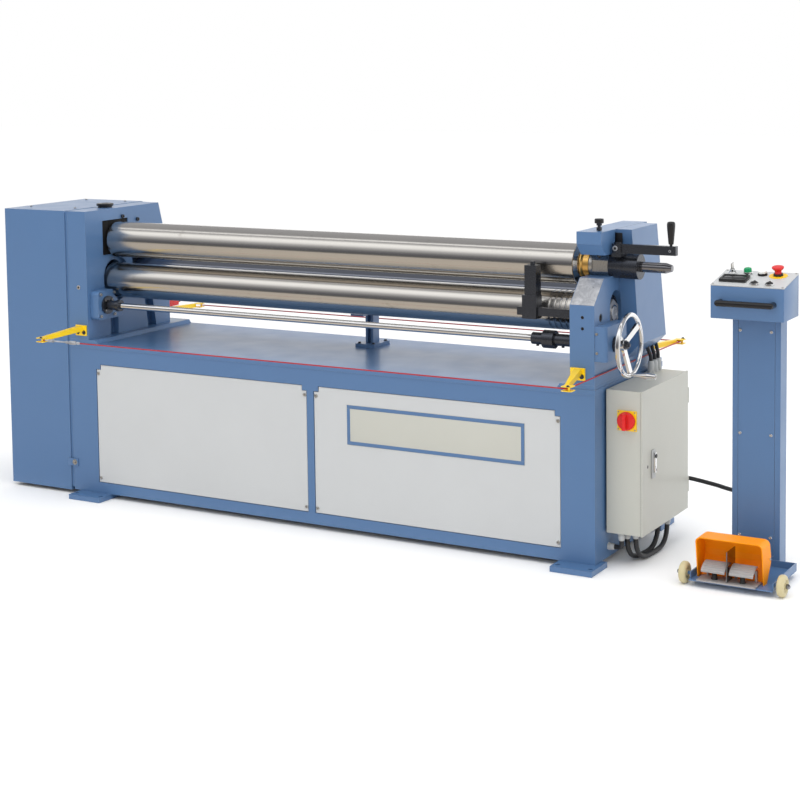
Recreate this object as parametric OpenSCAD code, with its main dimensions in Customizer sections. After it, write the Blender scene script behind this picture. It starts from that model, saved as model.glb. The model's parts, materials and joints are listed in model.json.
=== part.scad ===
// Plate rolling machine with three rolls, a gear cabinet, a handwheel and a control stand with foot pedals.
// Millimetres. X runs along the rolls to the right, Y to the back, Z up from the floor.
// The origin is on the floor, at the centre of the anchor bolt pattern under the base.

/* [Base] */
// Length of the base and its table along the rolls
base_l = 2384; // [2340:4:2440]
// Depth of the base from front to back
base_d = 650; // [640:2:670]
// Height of the table over the floor
table_z = 650; // [640:2:664]
// Thickness of the table plate
table_t = 20; // [16:1:24]
// Thickness of the anchor foot plates
foot_t = 20; // [16:1:24]
// Thickness of the welded base walls
wall_t = 15; // [12:1:18]
// Width of the plain post at each end of the front wall
post_w = 135; // [125:1:145]
// Width of the rib between the two front panels
rib_w = 36; // [30:1:44]

/* [Side frames] */
// Thickness of each side frame
frame_t = 95; // [90:1:98]
// Height of the side frames over their foot strips
frame_h = 538; // [532:1:546]
// Depth of the side frames at the foot
frame_d = 560; // [550:2:580]
// Width of the gear cabinet
cabinet_w = 329; // [310:1:350]
// Depth of the gear cabinet
cabinet_d = 526; // [500:2:540]

/* [Rolls] */
// Diameter of the upper roll
upper_d = 150; // [144:1:154]
// Diameter of the lower roll
lower_d = 146; // [142:1:150]
// Diameter of the rear roll
rear_d = 146; // [142:1:150]
// Opening between the upper and lower roll as parked
nip = 25; // [22:1:28]
// Depth of the upper roll's axis under the frames' top
roll_drop = 132; // [128:1:136]
// Lean of the rear roll's slideway from upright, in degrees
lean = 10; // [8:0.5:12]

/* [Adjusting drive] */
// Diameter of the adjusting shaft
shaft_d = 25; // [22:1:27]
// Outer diameter of the handwheel
wheel_d = 234; // [210:2:240]

/* [Electrical box] */
// Width of the electrical box along the machine's side
box_w = 459; // [440:1:470]
// Height of the electrical box
box_h = 520; // [500:2:530]
// Depth of the electrical box without its door
box_t = 130; // [120:1:136]

/* [Control stand] */
// Distance from the base's end to the middle of the control stand
stand_gap = 500; // [496:1:520]
// Width of the stand's column
column_w = 174; // [166:1:180]
// Width of the control box
control_w = 262; // [256:1:270]
// Diameter of the stand's wheels
castor_d = 76; // [72:1:80]

/* [Hidden] */
$fn = 64;

// Colours
BLUE = [0.36, 0.50, 0.68];
STEEL = [0.70, 0.70, 0.71];
CHROME = [0.82, 0.83, 0.84];
BLACK = [0.10, 0.10, 0.11];
GREY = [0.78, 0.79, 0.78];
YELLOW = [1.00, 0.82, 0.02];
RED = [0.78, 0.12, 0.14];
ORANGE = [0.95, 0.53, 0.08];
CREAM = [0.91, 0.84, 0.64];
BRONZE = [0.80, 0.58, 0.27];

// Places along the rolls
half_l = base_l / 2;
frame_in = half_l - frame_t;
ease = 0.5;

// Heights
strip_t = 15;
strip_z = table_z + strip_t;
frame_top = strip_z + frame_h;
upper_z = frame_top - roll_drop;
lower_z = upper_z - upper_d / 2 - lower_d / 2 - nip;
rear_z = lower_z + 7;
shaft_z = lower_z - 0.395 * (lower_z - strip_z);

// Depths from the front face of the base
roll_y = 195;
rear_y = 390;
shaft_y = 78;

// Roll ends and bearings
roll_in = 10;
neck_r = 30;
left_neck_r = 38;
roll_room = 9;
pocket_x = roll_in + 6;
block_w = 106;
block_h = 130;
lift_down = 9;
lift_up = 18;
rear_down = 15;
rear_up = 60;
sleeve_flat = 35;
sleeve_r = 41;
sleeve_bore = 26.05;
sleeve_neck_r = 26;
seat_z = upper_z - sleeve_flat;
jaw_z = upper_z + 46;
upper_start_x = 14 - frame_in;
upper_end_x = half_l - 139;
bush_x0 = upper_end_x + 14;
bush_x1 = frame_in + 4;
sleeve_x1 = half_l - 14;
collar_x1 = half_l + 96;
rod_x1 = half_l + 215;
rod_r = 19;

// Electrical box
box_x0 = half_l + 8;
box_x1 = box_x0 + box_t;
box_y0 = 86;
box_y1 = box_y0 + box_w;
box_z1 = table_z - 10;
box_z0 = box_z1 - box_h;
sheet_t = 4;
door_x0 = box_x1 + 1;
door_t = 6;
door_x1 = door_x0 + door_t;
hinge_y = box_y1 + 7;
hinge_x = door_x0 + 2;

// Control stand
stand_x = half_l + stand_gap;
tray_w = 296;
tray_y0 = -10;
tray_y1 = 265;
tray_z0 = 20;
tray_t = 4;
tray_floor = tray_z0 + tray_t;
rim_h = 28;
column_d = 70;
column_h = 910;
control_y0 = 155;
control_y1 = 325;
control_front_h = 115;
control_back_h = 148;
panel_slope = atan((control_back_h - control_front_h) / (control_y1 - control_y0));
castor_r = castor_d / 2;
castor_t = 26;
castor_x = tray_w / 2 + 25;
castor_y = 20;
stub_r = 6;

// Trip wire round the working area
wire_r = 2.5;
wire_z = table_z + 50;
wire_front_y = -258;
wire_back_y = 845;
wire_left_x = -frame_in - 30;
wire_right_x = half_l + 13;

// Cable routes, measured from the base's right end, its front face and the floor
loop_inner_pts = [
    [66, 138, 92], [66, 138, 86], [67, 142, 63], [68, 152, 42], [70, 168, 26], [73, 189, 16], [77, 212, 12],
    [82, 247, 11], [87, 282, 12], [90, 305, 16], [93, 326, 26], [95, 342, 42], [97, 352, 63], [98, 356, 86],
    [98, 356, 92]
];
loop_outer_pts = [
    [94, 150, 92], [94, 150, 86], [95, 154, 63], [96, 164, 42], [98, 180, 26], [101, 201, 16], [104, 224, 12],
    [108, 269, 11], [112, 314, 12], [115, 337, 16], [118, 358, 26], [120, 374, 42], [121, 384, 63],
    [122, 388, 86], [122, 388, 92]
];
link_shape = [
    [26, 605, 220], [34, 605, 220], [60, 605, 220], [98, 605, 219], [136, 604, 216], [174, 602, 212],
    [212, 597, 208], [248, 589, 205], [282, 577, 202], [314, 561, 202], [344, 541, 204], [372, 518, 209],
    [396, 494, 215], [417, 471, 221], [436, 448, 227], [449, 427, 231], [457, 408, 234], [460, 390, 236],
    [460, 376, 236], [460, 363, 236]
];
link_pts = [
    for (i = [0 : len(link_shape) - 1])
        let (p = link_shape[i], part = i < 3 ? 1 : max(0, 1 - (i - 2) / 14))
        [p[0] * stand_gap / 500, p[1] + (base_d - 650) * part, p[2]]
];
function last(pts) = pts[len(pts) - 1];
loop_r = 9;
link_r = 8;

// Moves shapes drawn from the base's front face into the part's frame
module placed() {
    translate([-anchor_mid, -base_d / 2, 0]) children();
}

// A round bar along X
module bar_x(x0, x1, r, y, z) {
    translate([x0, y, z]) rotate([0, 90, 0]) cylinder(h = x1 - x0, r = r);
}

// A round bar along Y
module bar_y(y0, y1, r, x, z) {
    translate([x, y0, z]) rotate([-90, 0, 0]) cylinder(h = y1 - y0, r = r);
}

// A round bar upwards
module bar_z(z0, z1, r, x, y) {
    translate([x, y, z0]) cylinder(h = z1 - z0, r = r);
}

// A block between two corners
module block(p, q) {
    translate(p) cube(q - p);
}

// A plate with an outline in Y and Z, between two places on X
module plate_x(x0, x1, outline) {
    translate([x0, 0, 0]) rotate([90, 0, 90]) linear_extrude(x1 - x0) polygon(outline);
}

// A plate with an outline in X and Z, between two places on Y
module plate_y(y0, y1, outline) {
    translate([0, y1, 0]) rotate([90, 0, 0]) linear_extrude(y1 - y0) polygon(outline);
}

// A rectangle with round corners, about its centre
module round_rect(w, h, r) {
    square([w - 2 * r, h], center = true);
    square([w, h - 2 * r], center = true);
    for (sx = [-1, 1], sy = [-1, 1]) translate([sx * (w / 2 - r), sy * (h / 2 - r)]) circle(r);
}

// An upright slot with round ends, h high in all, about its centre
module slot(w, h) {
    square([w, h - w], center = true);
    for (s = [-1, 1]) translate([0, s * (h - w) / 2]) circle(d = w);
}

// Sets a flat shape on a YZ plane and gives it thickness along X
module on_side(x0, x1, y, z, turn = 0) {
    translate([x0, y, z]) rotate([90, 0, 90]) linear_extrude(x1 - x0) rotate(turn) children();
}

// Points of one ring of a swept tube, square to the direction d
function ring(p, d, r, sides) =
    let (n = d / norm(d), a = cross(n, abs(n[2]) > 0.9 ? [1, 0, 0] : [0, 0, 1]))
    let (u = a / norm(a), v = cross(n, u))
    [for (i = [0 : sides - 1]) p + r * (cos(360 * i / sides) * u + sin(360 * i / sides) * v)];

// A tube along a route
module tube(pts, r, sides = 10) {
    last = len(pts) - 1;
    dirs = [for (i = [0 : last]) pts[min(i + 1, last)] - pts[max(i - 1, 0)]];
    rings = [for (i = [0 : last]) each ring(pts[i], dirs[i], r, sides)];
    walls = [for (i = [0 : last - 1], j = [0 : sides - 1])
        [i * sides + j, i * sides + (j + 1) % sides, (i + 1) * sides + (j + 1) % sides, (i + 1) * sides + j]];
    ends = [[for (j = [sides - 1 : -1 : 0]) j], [for (j = [0 : sides - 1]) last * sides + j]];
    polyhedron(rings, concat(walls, ends), convexity = 6);
}

// A route measured from the base's right end
function from_end(pts) = [for (p = pts) p + [half_l, 0, 0]];

// Base and table

panel_l = (base_l - 2 * post_w - rib_w) / 2;
panel_z0 = foot_t + 47;
panel_z1 = table_z - 87;
notch_w = 21;
notch_h = 20;
panel_gap = 2.5;
panel_t = 4;
recess_t = 6;

// Outline of a front panel with its two notched upper corners, grown by g
function panel_outline(x0, g) =
    let (l = x0 - g, r = x0 + panel_l + g, b = panel_z0 - g, t = panel_z1 + g)
    [
        [l, b], [r, b], [r, t - notch_h], [r - notch_w, t - notch_h], [r - notch_w, t], [l + notch_w, t],
        [l + notch_w, t - notch_h], [l, t - notch_h]
    ];

panel_starts = [-half_l + post_w, rib_w / 2];

module base_front_wall() {
    color(BLUE) placed() difference() {
        block([-half_l, 0, foot_t], [half_l, wall_t, table_z - table_t]);
        for (x = panel_starts) plate_y(-1, recess_t, panel_outline(x, panel_gap));
    }
}

module base_rear_wall() {
    color(BLUE) placed() block([-half_l, base_d - wall_t, foot_t], [half_l, base_d, table_z - table_t]);
}

module base_end_walls() {
    color(BLUE) placed() for (x = [-half_l, half_l - wall_t])
        block([x, wall_t, foot_t], [x + wall_t, base_d - wall_t, table_z - table_t]);
}

module table_top() {
    color(BLUE) placed()
        block([-half_l, -2, table_z - table_t], [half_l + 2, base_d + 2, table_z]);
}

foot_w = 162;
foot_out = 80;
foot_in = 60;
bolt_r = 9;
bolt_side = 18;
bolt_out = 48;
foot_shift = 34;
foot_over = 21;
anchor_mid = (foot_shift + foot_over) / 2;

module foot_plates() {
    color(BLUE) placed() for (s = [-1, 1], rear = [0, 1])
        difference() {
            x0 = s < 0 ? -half_l + foot_shift : half_l + foot_over - foot_w;
            y0 = rear ? base_d - foot_in : -foot_out;
            block([x0, y0, 0], [x0 + foot_w, y0 + foot_out + foot_in, foot_t]);
            for (dx = [bolt_side, foot_w - bolt_side])
                bar_z(-1, foot_t + 1, bolt_r, x0 + dx, rear ? base_d + bolt_out : -bolt_out);
        }
}

module front_panels() {
    color(GREY) placed() for (x = panel_starts)
        plate_y(recess_t - panel_t, recess_t, panel_outline(x, 0));
}

module foot_strips() {
    color(BLUE) placed() for (s = [-1, 1])
        plate_y(0, base_d - 2, [
            [s * half_l, table_z], [s * half_l, strip_z], [s * (frame_in - 40), strip_z],
            [s * (frame_in - 50), table_z]
        ]);
}

// Side frames and gear cabinet

groove_x = 17;
groove_y = 5;
cabinet_x1 = -half_l - groove_x;
cabinet_x0 = cabinet_x1 - cabinet_w;
cabinet_z0 = 15;
cabinet_t = 5;

module gear_cabinet() {
    color(BLUE) placed() {
        difference() {
            block([cabinet_x0, 0, cabinet_z0], [cabinet_x1, cabinet_d, frame_top]);
            block(
                [cabinet_x0 + cabinet_t, cabinet_t, cabinet_z0 - 1],
                [cabinet_x1 - cabinet_t, cabinet_d - cabinet_t, frame_top - cabinet_t]
            );
        }
        block([cabinet_x1, groove_y, foot_t + 10], [-half_l, cabinet_d - groove_y, frame_top - 2]);
    }
}

frame_back = frame_d - 65;
frame_knee = strip_z + 0.585 * frame_h;

guide_t = 30;

// The upright slideway of a side frame for the lower roll, or the room for the roll itself
module slideways(x0, x1, w, roll_r) {
    long = lift_down + lift_up + 2;
    on_side(x0, x1, roll_y, lower_z + (lift_up - lift_down) / 2)
        slot(roll_r > 0 ? 2 * roll_r : w, (roll_r > 0 ? 2 * roll_r : block_h) + long);
}

// The same for the rear roll
module leaning_slideway(x0, x1, w, roll_r) {
    long = rear_down + rear_up + 2;
    on_side(x0, x1, rear_y, rear_z, lean) translate([0, (rear_up - rear_down) / 2])
        slot(roll_r > 0 ? 2 * roll_r : w, (roll_r > 0 ? 2 * roll_r : block_h) + long);
}

// Room for the rolls and their bearing blocks in a side frame whose inner face is at x_in
module frame_openings(x_in, side) {
    x_pocket = x_in + side * pocket_x;
    x_out = x_in + side * (frame_t + 1);
    inner = [min(x_in - side, x_pocket), max(x_in - side, x_pocket)];
    outer = [min(x_pocket, x_out), max(x_pocket, x_out)];
    slideways(inner[0], inner[1], 0, lower_d / 2 + roll_room);
    leaning_slideway(inner[0], inner[1], 0, rear_d / 2 + roll_room);
    slideways(outer[0], outer[1], block_w + 1.5, 0);
    leaning_slideway(outer[0], outer[1], block_w + 1.5, 0);
    guide = [min(x_in - side, x_in + side * guide_t), max(x_in - side, x_in + side * guide_t)];
    block([guide[0], roll_y - 46, strip_z - 1], [guide[1], roll_y + 6, lower_z - 60]);
    on_side(guide[0], guide[1], rear_y, rear_z, lean) translate([-28, strip_z - rear_z - 20])
        square([56, rear_z - strip_z - 40]);
}

module left_side_frame() {
    color(BLUE) placed() difference() {
        plate_x(-half_l, -frame_in, [
            [0, strip_z], [frame_d, strip_z], [frame_d, frame_knee], [frame_back, frame_top], [0, frame_top]
        ]);
        frame_openings(-frame_in, -1);
        block(
            [-frame_in - pocket_x - 24, roll_y - upper_d / 2 - 10, upper_z - upper_d / 2 + 13],
            [-frame_in + 1, roll_y + upper_d / 2 + 10, upper_z + upper_d / 2 + 9]
        );
        bar_x(-half_l - 1, -frame_in, left_neck_r + 0.05, roll_y, upper_z);
    }
}

jaw_front = 62;
ramp_z = upper_z - 124;
ramp_y = 90;
throat_y = roll_y + sleeve_r;

module right_side_frame() {
    color(BLUE) placed() difference() {
        plate_x(frame_in, half_l, [
            [0, strip_z], [frame_d, strip_z], [frame_d, frame_knee], [frame_back, frame_top],
            [jaw_front, frame_top], [jaw_front, frame_top - 44], [jaw_front + 38, jaw_z], [throat_y, jaw_z],
            [throat_y, seat_z], [ramp_y, seat_z], [0, ramp_z]
        ]);
        frame_openings(frame_in, 1);
        bar_x(frame_in - 1, half_l + 1, shaft_d / 2 + ease, shaft_y, shaft_z);
        bar_z(jaw_z - 1, frame_top + 1, knob_r + 0.05, knob_x, knob_y);
        for (z = [lower_z + 8, lower_z - 32]) bar_y(-1, 20, 6, half_l - 46, z);
        block([half_l - 30, 188, jaw_z + 24], [half_l + 1, 240, frame_top - 12]);
        bar_x(half_l - 8, half_l + 1, 15, 56, lower_z + 2);
    }
}

housing_t = 61;
housing_z0 = table_z + 65;

module rear_slide_housing() {
    color(BLUE) placed() difference() {
        intersection() {
            plate_x(half_l, half_l + housing_t, [
                [roll_y + 1, frame_top], [frame_back - 52, frame_top], [frame_d - 12, housing_z0],
                [roll_y + 79, housing_z0]
            ]);
            plate_y(0, frame_d, [
                [half_l, frame_top], [half_l, housing_z0], [half_l + housing_t, housing_z0 + housing_t],
                [half_l + housing_t, frame_top]
            ]);
        }
        leaning_slideway(half_l - 1, half_l + 12, block_w + 1.5, 0);
        bar_x(half_l - 1, half_l + housing_t + 1, 54, roll_y, upper_z);
    }
}

module upper_bearing_sleeve() {
    color(STEEL) placed() difference() {
        bar_x(bush_x1, sleeve_x1, sleeve_r, roll_y, upper_z);
        bar_x(bush_x1 - 1, sleeve_x1 + 1, sleeve_bore, roll_y, upper_z);
        block([bush_x1 - 1, 0, 0], [sleeve_x1 + 1, frame_d, seat_z]);
        block([bush_x1 + 14, 0, upper_z - 20], [sleeve_x1 + 1, roll_y - sleeve_flat, upper_z + 20]);
    }
}

bush_r = 44;

module bronze_bush() {
    color(BRONZE) placed() difference() {
        bar_x(bush_x0, bush_x1, bush_r, roll_y, upper_z);
        bar_x(bush_x0 - 1, bush_x1 + 1, sleeve_bore, roll_y, upper_z);
        block([frame_in - 0.01, 0, 0], [bush_x1 + 1, frame_d, seat_z]);
        block([frame_in - 0.01, throat_y, 0], [bush_x1 + 1, frame_d, frame_top]);
    }
}

// Adjusting drive

worm_x = 42;
worm_y0 = 20;
worm_y1 = 180;
worm_z0 = shaft_z - 60;
worm_z1 = shaft_z + 62;
cover_x = 45;
cover_y1 = 184;
cover_z0 = wire_z + 0.48 * (shaft_z - wire_z);
cover_z1 = shaft_z + 70;

module worm_housing() {
    color(BLUE) placed() difference() {
        on_side(-frame_in, -frame_in + worm_x, (worm_y0 + worm_y1) / 2, (worm_z0 + worm_z1) / 2)
            round_rect(worm_y1 - worm_y0, worm_z1 - worm_z0, 18);
        bar_x(-frame_in - 1, -frame_in + worm_x + 1, shaft_d / 2 + ease, shaft_y, shaft_z);
        on_side(-frame_in - 1, -frame_in + worm_x + 1, roll_y, lower_z + (lift_up - lift_down) / 2)
            slot(lower_d + 2 * roll_room, lower_d + 2 * roll_room + lift_down + lift_up + 2);
    }
}

module worm_cover() {
    color(BLUE) placed() difference() {
        union() {
            block([half_l, 2, cover_z0], [half_l + cover_x - 12, cover_y1, cover_z1]);
            block([half_l + cover_x - 12, 14, cover_z0], [half_l + cover_x, cover_y1, cover_z1]);
            bar_z(cover_z0, cover_z1, 12, half_l + cover_x - 12, 14);
        }
        bar_x(half_l - 1, half_l + cover_x + 1, shaft_d / 2 + ease, shaft_y, shaft_z);
    }
}

flange_r = 38;
flange_t = 8;

module shaft_flanges() {
    color(BLACK) placed() for (x = [-frame_in + worm_x, half_l + cover_x]) difference() {
        bar_x(x, x + flange_t, x < 0 ? flange_r : 28, shaft_y, shaft_z);
        bar_x(x - 1, x + flange_t + 1, shaft_d / 2 + ease, shaft_y, shaft_z);
    }
}

hub_x0 = half_l + cover_x + flange_t + 6;
hub_x1 = hub_x0 + 26;
rim_r = 9;
rim_x = hub_x1 + 14;
grip_l = 82;
spoke_w = 25;
spoke_t = 10;
spoke_turn = 36;

module adjusting_shaft() {
    color(CHROME) placed() bar_x(-frame_in + 8, hub_x0, shaft_d / 2, shaft_y, shaft_z);
}

// A collar on the adjusting shaft
module collar(x0, x1, r) {
    difference() {
        bar_x(x0, x1, r, shaft_y, shaft_z);
        bar_x(x0 - 1, x1 + 1, shaft_d / 2, shaft_y, shaft_z);
    }
}

module shaft_couplings() {
    left_x = -frame_in + worm_x + flange_t + 4;
    right_x = frame_in - 180;
    color(BLACK) placed() {
        collar(left_x, left_x + 44, 20);
        collar(left_x + 44, left_x + 60, 24);
        collar(right_x, right_x + 46, 22);
        collar(right_x + 46, right_x + 90, 33);
        collar(right_x + 90, right_x + 165, 22);
    }
}

module handwheel() {
    ring_r = wheel_d / 2 - rim_r;
    color(CHROME) placed() translate([0, shaft_y, shaft_z]) {
        bar_x(hub_x0, hub_x1, 22, 0, 0);
        translate([rim_x, 0, 0]) rotate([0, 90, 0]) rotate_extrude() translate([ring_r, 0]) circle(rim_r);
        for (a = [0, 120, 240]) rotate([spoke_turn + a, 0, 0])
            linear_extrude(spoke_w, center = true) polygon([
                [hub_x1 - 4 - spoke_t, 8], [hub_x1 - 4, 8], [rim_x + spoke_t / 2, ring_r],
                [rim_x - spoke_t / 2, ring_r]
            ]);
        rotate([spoke_turn + 240, 0, 0]) translate([rim_x, ring_r, 0]) rotate([0, 90, 0]) {
            cylinder(h = 24, r = 5);
            translate([0, 0, rim_r + 3]) cylinder(h = grip_l * 0.6, r1 = 7, r2 = 12);
            translate([0, 0, rim_r + 3 + grip_l * 0.6]) cylinder(h = grip_l * 0.4, r1 = 12, r2 = 9);
        }
    }
}

// Rolls and their bearings

module upper_roll() {
    color(STEEL) placed() {
        bar_x(upper_start_x, upper_end_x, upper_d / 2, roll_y, upper_z);
        bar_x(-half_l + 4, upper_start_x, left_neck_r, roll_y, upper_z);
        translate([upper_end_x, roll_y, upper_z]) rotate([0, 90, 0])
            cylinder(h = bush_x0 - 2 - upper_end_x, r1 = upper_d / 2 - 5, r2 = 50);
        bar_x(bush_x0 - 2, sleeve_x1 + 4, sleeve_neck_r, roll_y, upper_z);
    }
}

module roll_end_rod() {
    color(BLACK) placed() {
        bar_x(sleeve_x1 + 4, rod_x1 - 22, rod_r, roll_y, upper_z);
        translate([rod_x1 - 22, roll_y, upper_z]) rotate([0, 90, 0]) cylinder(h = 22, r1 = rod_r, r2 = 12);
    }
}

module release_collar() {
    mid = (sleeve_x1 + collar_x1) / 2;
    color(BLACK) placed() {
        difference() {
            union() {
                bar_x(sleeve_x1, mid - 1, 45, roll_y, upper_z);
                bar_x(mid - 1, mid + 1, 43, roll_y, upper_z);
                bar_x(mid + 1, collar_x1, 46, roll_y, upper_z);
                block([lever_x - 18, lever_y - 14, upper_z + 38], [lever_x + 18, roll_y + 4, lever_z0 - 0.4]);
            }
            bar_x(sleeve_x1 - 1, sleeve_x1 + 6, sleeve_neck_r + 2, roll_y, upper_z);
            bar_x(sleeve_x1 + 5, collar_x1 + 1, rod_r + 0.05, roll_y, upper_z);
            block([sleeve_x1 - 1, 0, 0], [half_l, frame_d, seat_z]);
            block([sleeve_x1 - 1, throat_y, 0], [half_l, frame_d, frame_top]);
        }
        bar_z(lever_z0 - 0.4, lever_z0 + lever_h + 0.4, lever_pin_r, lever_x, lever_y);
        bar_z(lever_z0 + lever_h + 0.4, lever_z0 + lever_h + 5, 13, lever_x, lever_y);
    }
}

// A bearing block with a bore, drawn about its bore
module bearing_block(x0, x1, y, z, turn) {
    difference() {
        on_side(x0, x1, y, z, turn) slot(block_w, block_h);
        bar_x(x0 - 1, x1 + 1, neck_r + 0.05, y, z);
    }
}

block_gap = pocket_x + 2;

module lower_bearings() {
    color(STEEL) placed() {
        bearing_block(-half_l + 6, -frame_in - block_gap, roll_y, lower_z, 0);
        bearing_block(frame_in + block_gap, half_l - 16, roll_y, lower_z, 0);
    }
}

groove_r = 4;

module lower_roll() {
    color(STEEL) placed() {
        difference() {
            bar_x(-frame_in - roll_in, frame_in + roll_in, lower_d / 2, roll_y, lower_z);
            for (i = [0 : 3]) translate([frame_in - 138 + 22 * i, roll_y, lower_z]) rotate([0, 90, 0])
                rotate_extrude() translate([lower_d / 2, 0]) circle(groove_r);
        }
        bar_x(-half_l + 8, -frame_in - roll_in, neck_r, roll_y, lower_z);
        bar_x(frame_in + roll_in, half_l - 6, neck_r, roll_y, lower_z);
        translate([half_l - 14, roll_y, lower_z]) rotate([0, 90, 0]) cylinder(h = 5, r = 40, $fn = 6);
    }
}

module rear_bearings() {
    color(STEEL) placed() {
        bearing_block(-half_l + 6, -frame_in - block_gap, rear_y, rear_z, lean);
        bearing_block(frame_in + block_gap, half_l - 6, rear_y, rear_z, lean);
    }
}

module rear_roll() {
    color(STEEL) placed() {
        bar_x(-frame_in - roll_in, frame_in + roll_in, rear_d / 2, rear_y, rear_z);
        bar_x(-half_l + 8, -frame_in - roll_in, neck_r, rear_y, rear_z);
        bar_x(frame_in + roll_in, half_l - 8, neck_r, rear_y, rear_z);
    }
}

post_y = 480;
head_z = rear_z - rear_d / 2 - rear_down - 8;

module roll_support_post() {
    color(BLUE) placed() {
        block([-45, post_y - 62, table_z], [45, post_y + 62, table_z + 14]);
        block([-18, post_y - 24, table_z + 14], [-8, post_y + 24, head_z - 22]);
        block([8, post_y - 24, table_z + 14], [18, post_y + 24, head_z - 22]);
        block([-8, post_y - 6, table_z + 14], [8, post_y + 6, head_z - 22]);
        block([-30, rear_y - 30, head_z - 22], [30, post_y + 24, head_z]);
    }
}

cone_y = 70;
cone_z = lower_z + 8;
cone_x = frame_in - 180;

module cone_attachment() {
    color(BLACK) placed() {
        block([cone_x - 53, cone_y - 15, cone_z - 15], [frame_in, cone_y + 15, cone_z + 15]);
        block([cone_x - 28, cone_y - 25, cone_z - 26], [cone_x + 28, cone_y + 25, cone_z + 60]);
        block([cone_x - 20, cone_y - 20, cone_z + 60], [cone_x + 26, cone_y + 22, cone_z + 168]);
        bar_z(cone_z + 168, cone_z + 182, 9, cone_x + 4, cone_y);
    }
}

// Release lever and locking knob at the upper roll's free end

lever_x = half_l + 26;
lever_y = 150;
lever_z0 = jaw_z + 6;
lever_h = 33;
lever_end = half_l + 248;
lever_t = 22;
lever_pin_r = 8;
grip_x = lever_end - 24;

module release_lever() {
    color(BLACK) placed() difference() {
        union() {
            bar_z(lever_z0, lever_z0 + lever_h, 20, lever_x, lever_y);
            block([lever_x - 11, lever_y - 18, lever_z0], [lever_x + 18, lever_y, lever_z0 + lever_h]);
            block(
                [lever_x, lever_y - lever_t / 2, lever_z0],
                [lever_end, lever_y + lever_t / 2, lever_z0 + lever_h]
            );
        }
        bar_z(lever_z0 - 1, lever_z0 + lever_h + 1, lever_pin_r + 0.05, lever_x, lever_y);
    }
}

module lever_handle() {
    color([0.25, 0.26, 0.27]) placed() {
        bar_z(lever_z0 + lever_h, lever_z0 + lever_h + 8, 5, grip_x, lever_y);
        translate([grip_x, lever_y, lever_z0 + lever_h + 8]) cylinder(h = 14, r1 = 9, r2 = 14);
        bar_z(lever_z0 + lever_h + 22, lever_z0 + lever_h + 90, 14, grip_x, lever_y);
    }
}

knob_r = 6;
knob_x = half_l - 28;
knob_y = 110;

module locking_knob() {
    color(BLACK) placed() {
        bar_z(jaw_z - 8, frame_top + 20, knob_r, knob_x, knob_y);
        bar_z(frame_top + 2, frame_top + 14, 10, knob_x, knob_y);
        bar_z(frame_top + 20, frame_top + 28, 10, knob_x, knob_y);
        bar_z(frame_top + 28, frame_top + 44, 16, knob_x, knob_y);
    }
}

// Trip wire

fork_l = 34;
bracket_h = 44;
bracket_t = 6;

// A bracket plate on a side frame with its arm and fork reaching to the wire's corner at p
module trip_bracket(x0, y, p, out) {
    z1 = wire_z + 26;
    plate_y(min(y, y + out * bracket_t), max(y, y + out * bracket_t), [
        [x0, z1 - bracket_h], [x0 + 56, z1 - bracket_h], [x0 + 56, z1], [x0, z1]
    ]);
    root = [x0 + 28, y + out * bracket_t, z1 - 12];
    hull() {
        translate(root + [-14, -2, -12]) cube([28, 4, 22]);
        translate(p + [-26, -out * fork_l - 2, -9]) cube([13, 4, 18]);
    }
    for (z = [-9, 6]) translate(p + [-26, -fork_l / 2 - out * fork_l / 2, z]) cube([38, fork_l, 3]);
    bar_z(wire_z - 10, wire_z + 10, 4, p[0], p[1] - out * 9);
}

module trip_brackets() {
    color(YELLOW) placed() {
        trip_bracket(-frame_in - 62, 0, [wire_left_x, wire_front_y, wire_z], -1);
        trip_bracket(frame_in + 4, 0, [wire_right_x, wire_front_y, wire_z], -1);
        trip_bracket(-frame_in - 62, frame_d, [wire_left_x, wire_back_y, wire_z], 1);
        trip_bracket(frame_in + 34, frame_d, [wire_right_x, wire_back_y, wire_z], 1);
    }
}

module trip_wire() {
    side = 4 + wire_r;
    y0 = wire_front_y + 9;
    y1 = wire_back_y - 9;
    color(RED) placed() {
        bar_x(wire_left_x + side, wire_right_x - 4, wire_r, y0, wire_z);
        bar_y(y0 + wire_r + 0.4, y1 - wire_r - 0.4, wire_r, wire_right_x - side, wire_z);
        bar_x(wire_left_x + side, wire_right_x - 4, wire_r, y1, wire_z);
    }
}

module trip_switch() {
    y0 = frame_d + bracket_t;
    color(RED) placed() {
        block([-frame_in - 62, y0, wire_z + 26], [-frame_in - 22, y0 + 90, wire_z + 58]);
        bar_y(y0 + 90, y0 + 120, 9, -frame_in - 42, wire_z + 42);
    }
}

// Electrical box

module electrical_box() {
    color(GREY) placed() {
        difference() {
            block([box_x0, box_y0, box_z0], [box_x1, box_y1, box_z1]);
            block(
                [box_x0 + sheet_t, box_y0 + sheet_t, box_z0 + sheet_t],
                [box_x1 + 1, box_y1 - sheet_t, box_z1 - sheet_t]
            );
        }
        for (y = [box_y0 + 40, box_y1 - 40], z = [box_z0 + 60, box_z1 - 60]) bar_x(half_l, box_x0, 14, y, z);
        for (z = [box_z0 + 60, box_z1 - 120]) {
            bar_z(z, z + 28, 5, hinge_x, hinge_y);
            block([box_x1 - 14, box_y1, z], [hinge_x, box_y1 + 4, z + 28]);
        }
    }
}

module box_door() {
    color(GREY) placed() {
        difference() {
            block([door_x0, box_y0 - 2, box_z0 - 2], [door_x1, box_y1, box_z1 + 2]);
            bar_x(door_x0 - 1, door_x1 + 1, pin_r + 0.05, latch_y, latch_z);
        }
        for (z = [box_z0 + 60, box_z1 - 120]) {
            bar_z(z + 29, z + 57, 5, hinge_x, hinge_y);
            block([hinge_x - 2, box_y1, z + 29], [hinge_x + 2, hinge_y, z + 57]);
        }
    }
}

pin_r = 6;
latch_y = box_y0 + 98;
latch_z = box_z0 + 244;

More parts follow.
